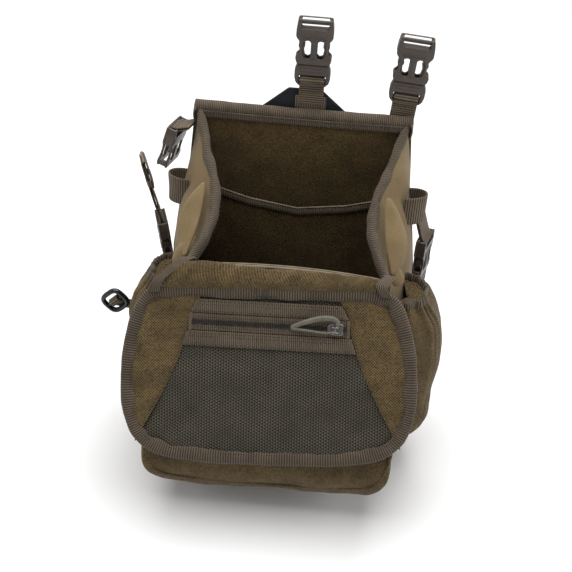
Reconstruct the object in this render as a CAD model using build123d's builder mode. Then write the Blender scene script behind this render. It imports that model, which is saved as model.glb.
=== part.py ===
"""Binocular harness pack: a padded chest pack with a forward-opening lid, in millimetres.

+X is the wearer's left, +Y points into the wearer's chest, +Z is up.  The origin is the centre of the
back pad's flat rear face, which lies on the chest.  The lid is modelled open, as it hangs in use.
Heights are counted from the underside of the main compartment.
"""

import os
from math import cos, radians, sin

from build123d import *

os.makedirs("parts", exist_ok=True)

# ---------------------------------------------------------------- driving dimensions
FLOOR = -125.0  # underside of the main compartment
BACK_H = 250.0  # height of the back
FRONT_H = 163.0  # height of the front panel
RIM_SLOPE = 85.0 / 108.0  # fall of the side panels' top edges towards the front
PAD_T = 6.0  # padded back that touches the chest
BACK_T = 8.0  # back panel: outer cloth, stiffener and lining together
WALL_T = 5.0  # padded side, front and base panels
TAPE_T = 3.0  # height that a bound edge stands above its panel
WEB_T = 1.6  # webbing

BACK_Y = -PAD_T  # rear face of the back panel
LINING_Y = BACK_Y - BACK_T  # front face of the back lining
FRONT_Y = -114.0  # outer face of the front panel
SLEEVE_GAP = 6.0  # room inside the flat sleeve on the back

HINGE_Y, HINGE_H = -121.5, 165.6  # line that the lid folds about
LID_OPEN = 60.0  # how far the open lid hangs below the horizontal, in degrees
LID_SHIFT, LID_SKEW = -10.6, 2.0  # the lid hangs off centre, and a little crooked (degrees)
LID_NEAR, LID_FAR = 8.0, 147.0  # the lid's edges, counted from its hinge line
POCKET_HALF, POCKET_SHIFT = 101.0, -5.0  # half width of the front pocket, and its middle
LID_DEPTH = 11.5  # depth of the lid's dished shell
RIM_W = 8.0  # width of the lid's bound rim

STRAP_W = 20.0  # harness webbing
LOOP_W = 25.0  # side loops' webbing
LOOP_OUT, LOOP_HALF = 13.5, 9.0  # half axes of a side loop, outwards and along the pack
RING_IN, RING_OUT = 1.9, 3.5  # webbing turned round a buckle's bar
BAR_R = 1.6

BUCKLE_T = 9.0
MALE_T = 7.0
MALE_L = 14.0  # from the bar to the shoulder that meets the female half
FEMALE_BAR = 48.0  # from one bar of a closed buckle to the other
MALE_ARM = [(5, 13.5), (8.5, 13.5), (10.2, 24), (11.9, 27), (11.9, 32), (10, 34), (7.6, 34), (7.8, 25)]


def height(h):
    """Z of a height above the compartment's underside."""
    return FLOOR + h


def rim_height(y):
    """Height of the side panels' top edge at depth y."""
    return BACK_H + RIM_SLOPE * (y - BACK_Y)


def save(piece, name):
    """Labels a finished piece and writes it as one node."""
    piece.part.label = name
    export_step(piece.part, f"parts/{name}.step")


# ---------------------------------------------------------------- side walls
# Sections of a side panel's outer face, floor to rim: depth, then (x, height) pairs.  The side swells
# at its middle and draws in towards its rim, most of all half way to the front.
SIDE_SECTIONS = [
    (LINING_Y, [(92, 0), (95, 60), (95, 130), (92, 195), (86, rim_height(LINING_Y))]),
    (-40.0, [(93, 0), (99, 60), (100, 130), (92, 190), (76, rim_height(-40))]),
    (-65.0, [(90, 0), (98, 60), (98, 120), (87, 170), (66, rim_height(-65))]),
    (-90.0, [(86, 0), (93, 60), (93, 110), (83, 150), (67, rim_height(-90))]),
    (FRONT_Y, [(80, 0), (84, 50), (84, 90), (83, 130), (80, rim_height(FRONT_Y))]),
]
EAR_SECTIONS = [
    (-60.0, [(88, 172), (80, 186), (70.5, 201)]),
    (-88.0, [(89, 146), (86, 162), (76, 181)]),
    (-112.0, [(89, 142.5), (90, 152), (88, 162)]),
]


def ruled_wall(sections, thickness, side):
    """A wall ruled through all the sections, on the wearer's left (side 1) or right (side -1)."""
    with BuildPart() as wall:
        for stretch in zip(sections, sections[1:]):
            with BuildPart(mode=Mode.PRIVATE) as piece:
                for depth, outer in stretch:
                    inner = [(x - thickness, h) for x, h in reversed(outer)]
                    with BuildSketch(Plane.XZ.offset(-depth)):
                        with BuildLine():
                            Polyline(*[(side * x, height(h)) for x, h in outer + inner], close=True)
                        make_face()
                loft(ruled=True)
            add(piece.part)
    return wall


def grown(sections, amount):
    """The same sections with every point moved outwards."""
    return [(depth, [(x + amount, h) for x, h in outer]) for depth, outer in sections]


def side_prism(points, side):
    """A prism over (depth, height) points that reaches from the middle to outside one side."""
    with BuildPart() as prism:
        with BuildSketch(Plane.YZ):
            with BuildLine():
                Polyline(*[(y, height(h)) for y, h in points], close=True)
            make_face()
        extrude(amount=200 * side)
    return prism.part


def side_fill(side, skin=0.0):
    """Everything inboard of a side panel's outer face, for trimming pieces that lie on it."""
    return ruled_wall(grown(SIDE_SECTIONS, skin), 60, side).part


WEBBING_OUTLINES = {
    "side_strip": [(-28, 131), (-53, 131), (-53, 177.5), (-28, 177.5)],
    "side_wing": [(-16, 62), (-16, 100), (-57, 116), (-57, 80)],
}
FILLS = {side: side_fill(side) for side in (1, -1)}
WORDS = {1: "left", -1: "right"}
WINGS = {}

for side, word in WORDS.items():
    panel = ruled_wall(SIDE_SECTIONS, WALL_T, side)
    save(panel, f"side_panel_{word}")

    rim = [(depth, outer[-1][0]) for depth, outer in SIDE_SECTIONS]
    band = [(y, [(x + 1, rim_height(y)), (x + 1, rim_height(y) + TAPE_T)]) for y, x in rim]
    binding = ruled_wall(band, 7.5, side)
    save(binding, f"rim_binding_{word}")

    with BuildPart() as ear:
        add(ruled_wall(EAR_SECTIONS, 4, side).part)
        add(FILLS[side], mode=Mode.SUBTRACT)
    save(ear, f"ear_{word}")

    for name, outline in WEBBING_OUTLINES.items():
        with BuildPart() as patch:
            add(ruled_wall(grown(SIDE_SECTIONS, WEB_T), WEB_T, side).part)
            add(side_prism(outline, side), mode=Mode.INTERSECT)
        save(patch, f"{name}_{word}")
    WINGS[side] = patch.part

    with BuildPart() as loop:
        with BuildSketch(Plane.XY.offset(height(178))):
            with Locations((side * 91, -40.5)):
                Ellipse(LOOP_OUT, LOOP_HALF)
                Ellipse(LOOP_OUT - WEB_T, LOOP_HALF - WEB_T, mode=Mode.SUBTRACT)
        extrude(amount=LOOP_W)
        add(FILLS[side], mode=Mode.SUBTRACT)
    save(loop, f"side_loop_{word}")

# ---------------------------------------------------------------- back, front and base
BACK_OUTLINE = [(92, 0), (95, 60), (95, 130), (92, 195), (87, BACK_H)]


def mirrored(points):
    """A closed outline from one half of it, given from bottom to top."""
    right = [(x, height(h)) for x, h in points]
    return right + [(-x, z) for x, z in reversed(right)]


def upright_plate(name, points, y, thickness):
    """A flat upright piece whose rear face is at depth y."""
    with BuildPart() as plate:
        with BuildSketch(Plane.XZ.offset(-y)):
            with BuildLine():
                Polyline(*mirrored(points), close=True)
            make_face()
        extrude(amount=thickness)
    save(plate, name)
    return plate.part


BACK_PARTS = [upright_plate("back_panel", BACK_OUTLINE, BACK_Y, 3)]
upright_plate("back_stiffener", [(82, 8), (82, 240)], BACK_Y - 3, 1.5)
BACK_PARTS.append(upright_plate("back_lining", BACK_OUTLINE, BACK_Y - 4.5, BACK_T - 4.5))
upright_plate("rim_binding_back", [(87.5, BACK_H), (86.5, BACK_H + TAPE_T)], BACK_Y, BACK_T)
FRONT_OUTLINE = [(75, 0), (78.9, 50), (78.9, 90), (77.6, 130), (72, FRONT_H)]
upright_plate("front_panel", FRONT_OUTLINE, FRONT_Y + WALL_T, WALL_T)
upright_plate("front_piping", [(70.6, FRONT_H), (70, FRONT_H + TAPE_T)], FRONT_Y + WALL_T, WALL_T)
upright_plate("yoke", [(40, 244), (34, 250), (13, 268)], BACK_Y + 3, 3)
upright_plate("hinge_cloth", [(74, 150.5), (73, FRONT_H + 1)], FRONT_Y, 0.4)

with BuildPart() as back_pad:
    with BuildSketch(Plane.XZ):
        with BuildLine():
            Polyline(*mirrored([(64, 4), (80, 20), (80, 205), (60, 236), (40, 244)]), close=True)
        make_face()
    extrude(amount=PAD_T)
save(back_pad, "back_pad")

with BuildPart() as base_panel:
    with BuildSketch(Plane.XY.offset(height(0))):
        with BuildLine():
            Polyline(
                (87, LINING_Y),
                (88, -40),
                (85, -65),
                (81, -90),
                (76, FRONT_Y + WALL_T),
                (-76, FRONT_Y + WALL_T),
                (-81, -90),
                (-85, -65),
                (-88, -40),
                (-87, LINING_Y),
                close=True,
            )
        make_face()
    extrude(amount=WALL_T)
save(base_panel, "base_panel")

# The sleeve is a flat pocket on the lining with a sagging, bound top edge.
SLEEVE_HALF = 84.0
SLEEVE_TOP = [(-SLEEVE_HALF, 181), (-40, 168), (0, 162), (40, 168), (SLEEVE_HALF, 181)]


def sleeve_edge(low, high, thickness):
    """The sleeve's front sheet between two heights below and above its sagging top edge."""
    with BuildPart() as sheet:
        with BuildSketch(Plane.XZ.offset(-LINING_Y + SLEEVE_GAP)):
            with BuildLine():
                lower = [(x, height(h + low)) for x, h in SLEEVE_TOP]
                upper = [(x, height(h + high)) for x, h in SLEEVE_TOP]
                Polyline(*lower, *reversed(upper), close=True)
            make_face()
        extrude(amount=thickness)
    return sheet.part


with BuildPart() as rear_sleeve:
    with BuildSketch(Plane.XZ.offset(-LINING_Y)):
        with Locations((0, height(94))):
            Rectangle(2 * SLEEVE_HALF, 176)
    extrude(amount=SLEEVE_GAP + WEB_T)
    with BuildSketch(Plane.XZ.offset(-LINING_Y)):
        with Locations((0, height(100))):
            Rectangle(2 * SLEEVE_HALF - 4, 184)
    extrude(amount=SLEEVE_GAP, mode=Mode.SUBTRACT)
    with BuildSketch(Plane.XZ.offset(-LINING_Y)):
        with BuildLine():
            above = [(90, height(200)), (-90, height(200))]
            Polyline(*[(x, height(h)) for x, h in SLEEVE_TOP], *above, close=True)
        make_face()
    extrude(amount=SLEEVE_GAP + 5, mode=Mode.SUBTRACT)
save(rear_sleeve, "rear_sleeve")

with BuildPart() as sleeve_binding:
    add(sleeve_edge(0, 5, 3))
save(sleeve_binding, "sleeve_binding")

# ---------------------------------------------------------------- pockets
POCKET_SECTIONS = [  # height, outermost x, nearest and farthest depth
    (-8, 112, -66, -106),
    (14, 125, -60, -112),
    (60, 129, -58.5, -113.5),
    (100, 129, -58.5, -113.5),
    (124, 122, -60, -112),
    (137, 112, -65, -107),
]


def pocket_body(side, inset):
    """A bulging side pocket, shrunk by inset all round."""
    with BuildPart() as body:
        sections = [(h, x - inset, a - inset, b + inset) for h, x, a, b in POCKET_SECTIONS]
        sections[0] = (sections[0][0] + inset, *sections[0][1:])
        sections[-1] = (sections[-1][0] - inset, *sections[-1][1:])
        for h, x, a, b in sections:
            with BuildSketch(Plane.XY.offset(height(h))):
                with Locations((side * (x + 60) / 2, (a + b) / 2)):
                    RectangleRounded(x - 60, a - b, 14)
        loft()
    return body.part


for side, word in WORDS.items():
    with BuildPart() as side_pocket:
        add(pocket_body(side, 0))
        add(FILLS[side], mode=Mode.SUBTRACT)
        with BuildPart(mode=Mode.PRIVATE) as hollow:
            add(pocket_body(side, 3))
            add(side_fill(side, 3), mode=Mode.SUBTRACT)
        add(hollow.part, mode=Mode.SUBTRACT)
    save(side_pocket, f"side_pocket_{word}")

    with BuildPart() as pocket_mouth:
        with BuildSketch(Plane.XY.offset(height(137))):
            with Locations((side * (111 + 60) / 2, -86)):
                RectangleRounded(111 - 60, 40, 13)
        extrude(amount=4)
        add(FILLS[side], mode=Mode.SUBTRACT)
    save(pocket_mouth, f"pocket_mouth_{word}")

POCKET_PROFILE = [
    (-114, 148),
    (-180, 34.5),
    (-186, 18),
    (-184, 2),
    (-176, -7),
    (-150, -10),
    (-114, -8),
]
HOLLOW_PROFILE = [
    (-117, 137),
    (-177, 33),
    (-182.6, 18),
    (-181, 4),
    (-174.6, -3.6),
    (-150, -6.8),
    (-117, -5),
]


def pocket_prism(profile, half):
    """The front pocket's side profile, drawn out to both sides."""
    with BuildPart() as prism:
        with BuildSketch(Plane.YZ.offset(POCKET_SHIFT)):
            with BuildLine():
                Polyline(*[(y, height(h)) for y, h in profile], close=True)
            make_face()
        extrude(amount=half, both=True)
    return prism.part


with BuildPart() as front_pocket:
    add(pocket_prism(POCKET_PROFILE, POCKET_HALF))
    fillet(front_pocket.edges().filter_by(GeomType.LINE).group_by(Axis.X)[0], 8)
    fillet(front_pocket.edges().filter_by(GeomType.LINE).group_by(Axis.X)[-1], 8)
    add(pocket_prism(HOLLOW_PROFILE, POCKET_HALF - 5), mode=Mode.SUBTRACT)
save(front_pocket, "front_pocket")

# ---------------------------------------------------------------- lid
TILT = radians(LID_OPEN)
SKEW = radians(LID_SKEW)
LID = Plane(
    origin=(LID_SHIFT, HINGE_Y, height(HINGE_H)),
    x_dir=(cos(SKEW), sin(SKEW) * cos(TILT), sin(SKEW) * sin(TILT)),
    z_dir=(0, -sin(TILT), cos(TILT)),
)
LID_HALF = [
    (87, LID_NEAR),
    (102, 21),
    (112, 50),
    (115, 82),
    (113, 108),
    (104, 129),
    (86, 141),
    (56, 146),
    (25, LID_FAR),
]
MESH_TOP, MESH_BOTTOM = 13.0, 150.0  # the mesh between the lid's side panels
MESH_TOP_HALF, MESH_BOTTOM_HALF = 57.0, 103.0
ZIP_D = 37.0  # zip's distance from the hinge line
ZIP_HALF = 61.0
SLIDER_X = 51.0


def lid_plane(depth):
    """The lid's plane at a depth under its inner face; X across, -Y away from the hinge line."""
    return LID.offset(-depth)


def lid_outline(inset):
    """The lid's outline, drawn in by inset, on the sketch being built."""
    with BuildSketch(mode=Mode.PRIVATE) as outline:
        with BuildLine():
            half = [(x, -d) for x, d in LID_HALF]
            Polyline(*half, *[(-x, y) for x, y in reversed(half)], close=True)
        make_face()
        fillet(outline.vertices(), 11)
        if inset:
            offset(amount=-inset, kind=Kind.INTERSECTION)
    return outline.sketch_local


def mesh_field():
    """The tapering field between the lid's two side panels."""
    with BuildSketch(mode=Mode.PRIVATE) as field:
        with BuildLine():
            Polyline(
                (-MESH_TOP_HALF, -MESH_TOP),
                (MESH_TOP_HALF, -MESH_TOP),
                (MESH_BOTTOM_HALF, -MESH_BOTTOM),
                (-MESH_BOTTOM_HALF, -MESH_BOTTOM),
                close=True,
            )
        make_face()
    return field.sketch_local


def field_half(d):
    """Half width of the mesh field at distance d from the hinge line."""
    return MESH_TOP_HALF + (MESH_BOTTOM_HALF - MESH_TOP_HALF) * (d - MESH_TOP) / (MESH_BOTTOM - MESH_TOP)


with BuildPart() as lid_shell:
    with BuildSketch(lid_plane(LID_DEPTH)):
        add(lid_outline(1.5))
    extrude(amount=3)
    with BuildSketch(lid_plane(LID_DEPTH - 3)):
        add(lid_outline(0))
        add(lid_outline(3), mode=Mode.SUBTRACT)
    extrude(amount=LID_DEPTH - 4)
save(lid_shell, "lid_shell")

with BuildPart() as lid_binding:
    with BuildSketch(lid_plane(1)):
        add(lid_outline(0))
        add(lid_outline(RIM_W), mode=Mode.SUBTRACT)
    extrude(amount=3)
save(lid_binding, "lid_binding")

for side, word in WORDS.items():
    with BuildPart() as lid_panel:
        with BuildSketch(lid_plane(2.4)):
            add(lid_outline(3))
            add(mesh_field(), mode=Mode.SUBTRACT)
            with Locations((-side * 100, 0)):
                Rectangle(200, 400, mode=Mode.SUBTRACT)
            with Locations((0, 0)):
                Rectangle(400, 2 * MESH_TOP, mode=Mode.SUBTRACT)
        extrude(amount=1.4)
    save(lid_panel, f"lid_panel_{word}")

with BuildPart() as lid_mesh:
    with BuildSketch(lid_plane(2.4)):
        add(lid_outline(3))
        add(mesh_field(), mode=Mode.INTERSECT)
        with Locations((0, -ZIP_D)):
            Rectangle(2 * ZIP_HALF, 10, mode=Mode.SUBTRACT)
    extrude(amount=0.8)
save(lid_mesh, "lid_mesh")

for name, near, far in (("zip_band_upper", 19, 30), ("zip_band_lower", 44, 56)):
    with BuildPart() as band:
        with BuildSketch(lid_plane(1.6)):
            with BuildLine():
                Polyline(
                    (-field_half(near) + 1, -near),
                    (field_half(near) - 1, -near),
                    (field_half(far) - 1, -far),
                    (-field_half(far) + 1, -far),
                    close=True,
                )
            make_face()
        extrude(amount=1.2)
    save(band, name)

with BuildPart() as zip_tapes:
    with BuildSketch(lid_plane(1.6)):
        for y in (-(30 + 35) / 2, -(39 + 44) / 2):
            with Locations((0, y)):
                Rectangle(2 * ZIP_HALF, 5)
        for x in (-ZIP_HALF, ZIP_HALF):
            with Locations((x, -ZIP_D)):
                Rectangle(2.4, 14)
    extrude(amount=0.8)
save(zip_tapes, "zip_tapes")

with BuildPart() as zip_coil:
    with BuildSketch(lid_plane(1.6)):
        for y in (-ZIP_D + 1.25, -ZIP_D - 1.25):
            with Locations((0, y)):
                Rectangle(2 * ZIP_HALF - 2.4, 1.5)
    extrude(amount=1.8)
save(zip_coil, "zip_coil")

with BuildPart() as zip_slider:
    for depth, low, width in ((-0.6, 1.4, 9.0), (3.2, 1.2, 7.6)):
        with BuildSketch(lid_plane(depth)):
            with Locations((SLIDER_X, -ZIP_D)):
                RectangleRounded(12, width, 2)
        extrude(amount=low)
    with BuildSketch(lid_plane(2.1)):
        with Locations((SLIDER_X + 3, -ZIP_D)):
            Rectangle(3, 0.6)
    extrude(amount=2.8)
    with BuildSketch(lid_plane(-2.0)):
        with Locations((SLIDER_X, -ZIP_D)):
            Rectangle(5, 5)
    extrude(amount=4)
    with Locations(lid_plane(-4.0)):
        with Locations((SLIDER_X, -ZIP_D, 0)):
            Cylinder(1.5, 20, rotation=(90, 0, 0), mode=Mode.SUBTRACT)
save(zip_slider, "zip_slider")

with BuildPart() as zip_pull:
    with BuildSketch(lid_plane(-2.8)):
        with BuildLine():
            loop = [(1.2, -6), (1.2, 6), (-10, 9), (-33, 1.5), (-33, -1.5), (-12, -7)]
            Polyline(*[(SLIDER_X + x, y - ZIP_D) for x, y in loop], close=True)
        make_face()
        offset(amount=-2.4, mode=Mode.SUBTRACT)
    extrude(amount=2.4)
    with Locations(lid_plane(-4.0)):
        with Locations((SLIDER_X, -ZIP_D, 0)):
            Box(8, 7.6, 8, mode=Mode.SUBTRACT)
            Cylinder(1.2, 8, rotation=(90, 0, 0))
save(zip_pull, "zip_pull")


# ---------------------------------------------------------------- harness straps and buckles
def strap_plane(origin, along, across):
    """A plane at a buckle's bar: Y along the strap away from the pack, X as near to across as it can."""
    along = Vector(*along).normalized()
    across = Vector(*across)
    across = (across - along * across.dot(along)).normalized()
    return Plane(origin=origin, x_dir=across, z_dir=across.cross(along))


def turned(plane, degrees):
    """The same plane turned about its own X axis."""
    axis = Axis((0, 0, 0), plane.x_dir)
    return Plane(origin=plane.origin, x_dir=plane.x_dir, z_dir=plane.z_dir.rotate(axis, degrees))


def ring_and_neck(plane, width, neck):
    """Webbing turned round a bar at the plane's origin, with a neck that runs back along the strap."""
    profile = Plane(origin=plane.origin, x_dir=plane.y_dir, z_dir=plane.x_dir)
    with BuildPart() as web:
        with BuildSketch(profile):
            Circle(RING_OUT)
            with Locations((-neck / 2, 0)):
                Rectangle(neck, WEB_T)
            Circle(RING_IN, mode=Mode.SUBTRACT)
        extrude(amount=width / 2, both=True)
    return web


def bar_across(plane, y):
    """The round bar of a buckle at distance y along the strap."""
    with Locations(plane):
        with Locations((0, y, 0)):
            Cylinder(BAR_R, 22, rotation=(0, 90, 0))


def male_half(plane):
    """The pronged half of a side-release buckle, its bar at the plane's origin."""
    with BuildPart() as male:
        with BuildSketch(plane.offset(-MALE_T / 2)):
            with BuildLine():
                edge = [(12.6, -3.2), (14.2, 3), (14.2, 9), (12.4, MALE_L)]
                Polyline(*edge, *[(-x, y) for x, y in reversed(edge)], close=True)
            make_face()
            with Locations((0, 0.7)):
                Rectangle(21.2, 7.8, mode=Mode.SUBTRACT)
        extrude(amount=MALE_T)
        bar_across(plane, 0)
        with BuildSketch(plane.offset(-2.3)):
            with Locations((0, MALE_L + 8)):
                Rectangle(4, 17)
            for flip in (1, -1):
                with BuildLine():
                    Polyline(*[(flip * x, y) for x, y in MALE_ARM], close=True)
                make_face()
        extrude(amount=4.6)
    return male


def female_half(plane):
    """The socket half of the same buckle, in its closed position."""
    with BuildPart() as female:
        with BuildSketch(plane.offset(-BUCKLE_T / 2)):
            with BuildLine():
                edge = [(12.8, MALE_L + 0.3), (14.5, 20), (14.5, 38), (13.2, FEMALE_BAR + 3.2)]
                Polyline(*edge, *[(-x, y) for x, y in reversed(edge)], close=True)
            make_face()
            with Locations((0, FEMALE_BAR - 0.2)):
                Rectangle(21.2, 9, mode=Mode.SUBTRACT)
            for x in (-5.8, 5.8):
                with Locations((x, 26)):
                    SlotOverall(11, 4.4, rotation=90, mode=Mode.SUBTRACT)
        extrude(amount=BUCKLE_T)
        with Locations(plane):
            with Locations((0, MALE_L + 12, 0)):
                Box(24.4, 24, 5.4, mode=Mode.SUBTRACT)
            with Locations((0, 28, 0)):
                Box(40, 12, 5.4, mode=Mode.SUBTRACT)
        bar_across(plane, FEMALE_BAR)
    return female


STRAPS = {  # named from the wearer's side; each plane is at the bar of the half that the pack holds
    "centre": strap_plane((5, BACK_Y - 0.8, height(277)), (0, 0, 1), (1, 0, 0)),
    "left": strap_plane((80, BACK_Y + 0.8, height(268)), (0.08, 0, 1), (1, 0, 0)),
    "lower_left": strap_plane((109, -19, height(98)), (0.02, 0, 1), (0.3, 0.95, 0)),
    "lower_right": strap_plane((-108.2, -19, height(94)), (-0.14, 0, 0.99), (0.3, -0.95, 0)),
}
NECKS = {"centre": (22, 0), "left": (25, 0), "lower_left": (28, 28), "lower_right": (30, 15)}


def trimmed_web(name, web, side):
    """Saves a strap's sewn end, cut where it lies on the side panel and its webbing patches."""
    with BuildPart() as trimmed:
        add(web.part)
        if side:
            add(FILLS[side], mode=Mode.SUBTRACT)
            add([WINGS[side], *BACK_PARTS], mode=Mode.SUBTRACT)
    save(trimmed, name)


for name, plane in STRAPS.items():
    neck, turn = NECKS[name]
    neck_plane = turned(plane, turn)
    side = {"lower_left": 1, "lower_right": -1}.get(name, 0)
    trimmed_web(f"{name}_web", ring_and_neck(neck_plane, STRAP_W, neck), side)
    save(male_half(plane), f"{name}_male")
    save(female_half(plane), f"{name}_female")



def moved_along(plane, distance):
    """The same plane, moved along its own Y axis."""
    return Plane(origin=plane.from_local_coords((0, distance, 0)), x_dir=plane.x_dir, z_dir=plane.z_dir)


# The upper right strap has been let go: its empty socket half hangs from the pack's corner.
HANGING_BAR = (-101, -15, height(230))
HANGING = strap_plane(HANGING_BAR, (0.26, 0, 0.96), (-0.27, -0.96, 0))
save(female_half(moved_along(HANGING, -FEMALE_BAR)), "right_female")
HANGING_NECK = strap_plane(HANGING_BAR, (-0.885, 0.208, -0.345), tuple(HANGING.x_dir))
trimmed_web("right_web", ring_and_neck(HANGING_NECK, STRAP_W, 15), -1)

# The lower straps leave the far ends of their buckles; the right one ends in a folded, kept end.
for name, length, turn in (("lower_left", 26, 160), ("lower_right", 62, 187)):
    tail_plane = turned(moved_along(STRAPS[name], FEMALE_BAR), turn)
    tail = ring_and_neck(tail_plane, STRAP_W, length)
    if name == "lower_right":
        with BuildPart() as folded:
            add(tail.part)
            with Locations(tail_plane):
                with Locations((0, -length + 13, 1.6)):
                    Box(STRAP_W, 26, WEB_T)
        save(folded, f"{name}_tail")
        with BuildPart() as keeper:
            with Locations(tail_plane):
                with Locations((0, -length + 20, 0.8)):
                    Box(STRAP_W + 2.4, 7, 5.6)
                    Box(STRAP_W, 7, 3.2, mode=Mode.SUBTRACT)
        save(keeper, "strap_keeper")
    else:
        save(tail, f"{name}_tail")

# ---------------------------------------------------------------- gear clip on the right pocket
CLIP = strap_plane((-140, -97, height(110)), (-0.69, 0, 0.73), (0.73, 0, 0.69))
with BuildPart() as gear_clip:
    with BuildSketch(CLIP.offset(-2.5)):
        RectangleRounded(21, 21, 6)
        RectangleRounded(13, 13, 2.5, mode=Mode.SUBTRACT)
    extrude(amount=5)
    with Locations(CLIP):
        Cylinder(BAR_R, 15, rotation=(0, 90, 0))
save(gear_clip, "gear_clip")

with BuildPart() as clip_web:
    add(ring_and_neck(turned(CLIP, 37), 9, 32).part)
    with BuildPart(mode=Mode.PRIVATE) as inside:
        add(pocket_body(-1, 0))
    add(inside.part, mode=Mode.SUBTRACT)
save(clip_web, "clip_web")
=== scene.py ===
"""Looks of the binocular harness pack.  Lengths are in millimetres until mm() turns them into metres.

Heights (h) are counted from the underside of the main compartment, as in the CAD.
"""
from math import ceil, cos, pi, radians, sin, sqrt

import bmesh
import bpy
from mathutils import Matrix, Vector, noise


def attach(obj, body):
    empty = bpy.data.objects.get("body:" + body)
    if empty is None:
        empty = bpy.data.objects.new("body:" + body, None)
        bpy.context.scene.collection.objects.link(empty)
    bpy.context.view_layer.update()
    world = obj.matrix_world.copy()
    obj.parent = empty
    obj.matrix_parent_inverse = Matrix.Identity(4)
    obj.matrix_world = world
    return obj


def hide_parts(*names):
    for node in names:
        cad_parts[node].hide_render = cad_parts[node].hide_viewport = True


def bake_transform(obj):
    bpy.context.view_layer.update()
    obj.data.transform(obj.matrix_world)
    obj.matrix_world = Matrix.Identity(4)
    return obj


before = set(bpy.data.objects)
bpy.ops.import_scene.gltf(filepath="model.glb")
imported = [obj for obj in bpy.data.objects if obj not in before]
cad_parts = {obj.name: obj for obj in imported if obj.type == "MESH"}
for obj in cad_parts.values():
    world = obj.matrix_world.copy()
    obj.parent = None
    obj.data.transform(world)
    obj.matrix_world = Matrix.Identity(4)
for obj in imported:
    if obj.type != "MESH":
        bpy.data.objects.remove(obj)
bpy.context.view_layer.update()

FLOOR_H = -125.0  # height of the compartment's underside in the row frame
BACK_H, FRONT_H = 250.0, 163.0
BACK_Y, LINING_Y, FRONT_Y = -6.0, -14.0, -114.0
RIM_SLOPE = 85.0 / 108.0
HINGE_Y, HINGE_H = -121.5, 165.6
LID_OPEN = radians(60)
LID_SKEW = radians(3.6)  # the lid hangs a little crooked
STRAP_W = 20.0
SIDES = {1: "left", -1: "right"}


# ---------------------------------------------------------------- camera
def add_camera():
    """The camera at the reference view: a little above, almost square to the front."""
    azimuth, elevation, roll = radians(2.89), radians(36.38), radians(3.45)
    back = Vector((sin(azimuth) * cos(elevation), -cos(azimuth) * cos(elevation), sin(elevation)))
    right = Vector((cos(azimuth), sin(azimuth), 0))
    up = back.cross(right)
    turned_right = right * cos(roll) + up * sin(roll)
    turned_up = up * cos(roll) - right * sin(roll)
    camera = bpy.data.objects.new("camera", bpy.data.cameras.new("camera"))
    bpy.context.collection.objects.link(camera)
    location = Vector((-0.0018, -0.086, 0.007)) + back * 0.9057
    rotation = Matrix((turned_right, turned_up, back)).transposed()
    camera.matrix_world = Matrix.Translation(location) @ rotation.to_4x4()
    camera.data.lens = 70.5
    camera.data.sensor_width = 36
    bpy.context.scene.camera = camera


add_camera()


# ---------------------------------------------------------------- small geometry
def mm(x, y, h):
    """A point of the row frame, in metres, from millimetres and a height."""
    return Vector((x, y, h + FLOOR_H)) / 1000


def rim_height(y):
    """Height of the side panels' top edge at depth y."""
    return BACK_H + RIM_SLOPE * (y - BACK_Y)


def catmull(points, t, closed=False):
    """A point on the smooth curve through points, t from 0 to 1."""
    n = len(points)
    spans = n if closed else n - 1
    place = min(max(t, 0.0), 1.0) * spans
    i = min(int(place), spans - 1)
    f = place - i
    if closed:
        a, b, c, d = (points[(i + k) % n] for k in (-1, 0, 1, 2))
    else:
        b, c = points[i], points[i + 1]
        a = points[i - 1] if i else b * 2 - c
        d = points[i + 2] if i + 2 < n else c * 2 - b
    return (b * 2 + (c - a) * f + (a * 2 - b * 5 + c * 4 - d) * f**2 + (b * 3 - a - c * 3 + d) * f**3) / 2


def wobble(point, size, amount, seed=0.0):
    """A smooth, repeatable wander of up to amount, over folds of that size, all in metres."""
    where = Vector(point) / size + Vector((seed, seed * 1.7, seed * 0.3))
    return noise.noise(where) * amount


def patch(sections, across, along, closed=False):
    """Rows of points on the smooth surface through sections, each a list of points."""
    rows = []
    for i in range(across + 1):
        row = []
        for j in range(along + (0 if closed else 1)):
            cross = [catmull(section, j / along, closed) for section in sections]
            row.append(catmull(cross, i / across))
        rows.append(row)
    return rows


def crease(rows, size, amount, seed=0.0, direction=None):
    """Moves each point along the surface's normal, or a given direction, by a smooth wander."""
    height, width = len(rows), len(rows[0])
    result = []
    for i, row in enumerate(rows):
        moved = []
        for j, point in enumerate(row):
            if direction is None:
                du = rows[min(i + 1, height - 1)][j] - rows[max(i - 1, 0)][j]
                dv = row[min(j + 1, width - 1)] - row[max(j - 1, 0)]
                normal = du.cross(dv)
                normal = normal.normalized() if normal.length > 0 else Vector((0, 0, 0))
            else:
                normal = direction
            moved.append(point + normal * wobble(point, size, amount, seed))
        result.append(moved)
    return result


def mesh_object(name, vertices, faces, uvs=None):
    """A smooth-shaded mesh object; uvs holds one pair per vertex, in metres."""
    mesh = bpy.data.meshes.new(name)
    mesh.from_pydata(vertices, [], faces)
    if uvs:
        layer = mesh.uv_layers.new(name="cloth")
        for loop in mesh.loops:
            layer.data[loop.index].uv = uvs[loop.vertex_index]
    mesh.polygons.foreach_set("use_smooth", [True] * len(mesh.polygons))
    obj = bpy.data.objects.new(name, mesh)
    bpy.context.collection.objects.link(obj)
    return obj


def place(obj, material, body, slot, *nodes):
    """Gives a piece its material and the body it rides on, and hides the CAD nodes it stands for; its slot is
    not used.
    """
    obj.data.materials.clear()
    obj.data.materials.append(material)
    if body:
        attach(obj, body)
    if nodes:
        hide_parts(*nodes)
    return obj


def apply_modifiers(obj):
    """Turns a piece's modifiers into plain mesh."""
    bpy.context.view_layer.update()
    graph = bpy.context.evaluated_depsgraph_get()
    mesh = bpy.data.meshes.new_from_object(obj.evaluated_get(graph))
    obj.modifiers.clear()
    obj.data = mesh
    return obj


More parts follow.
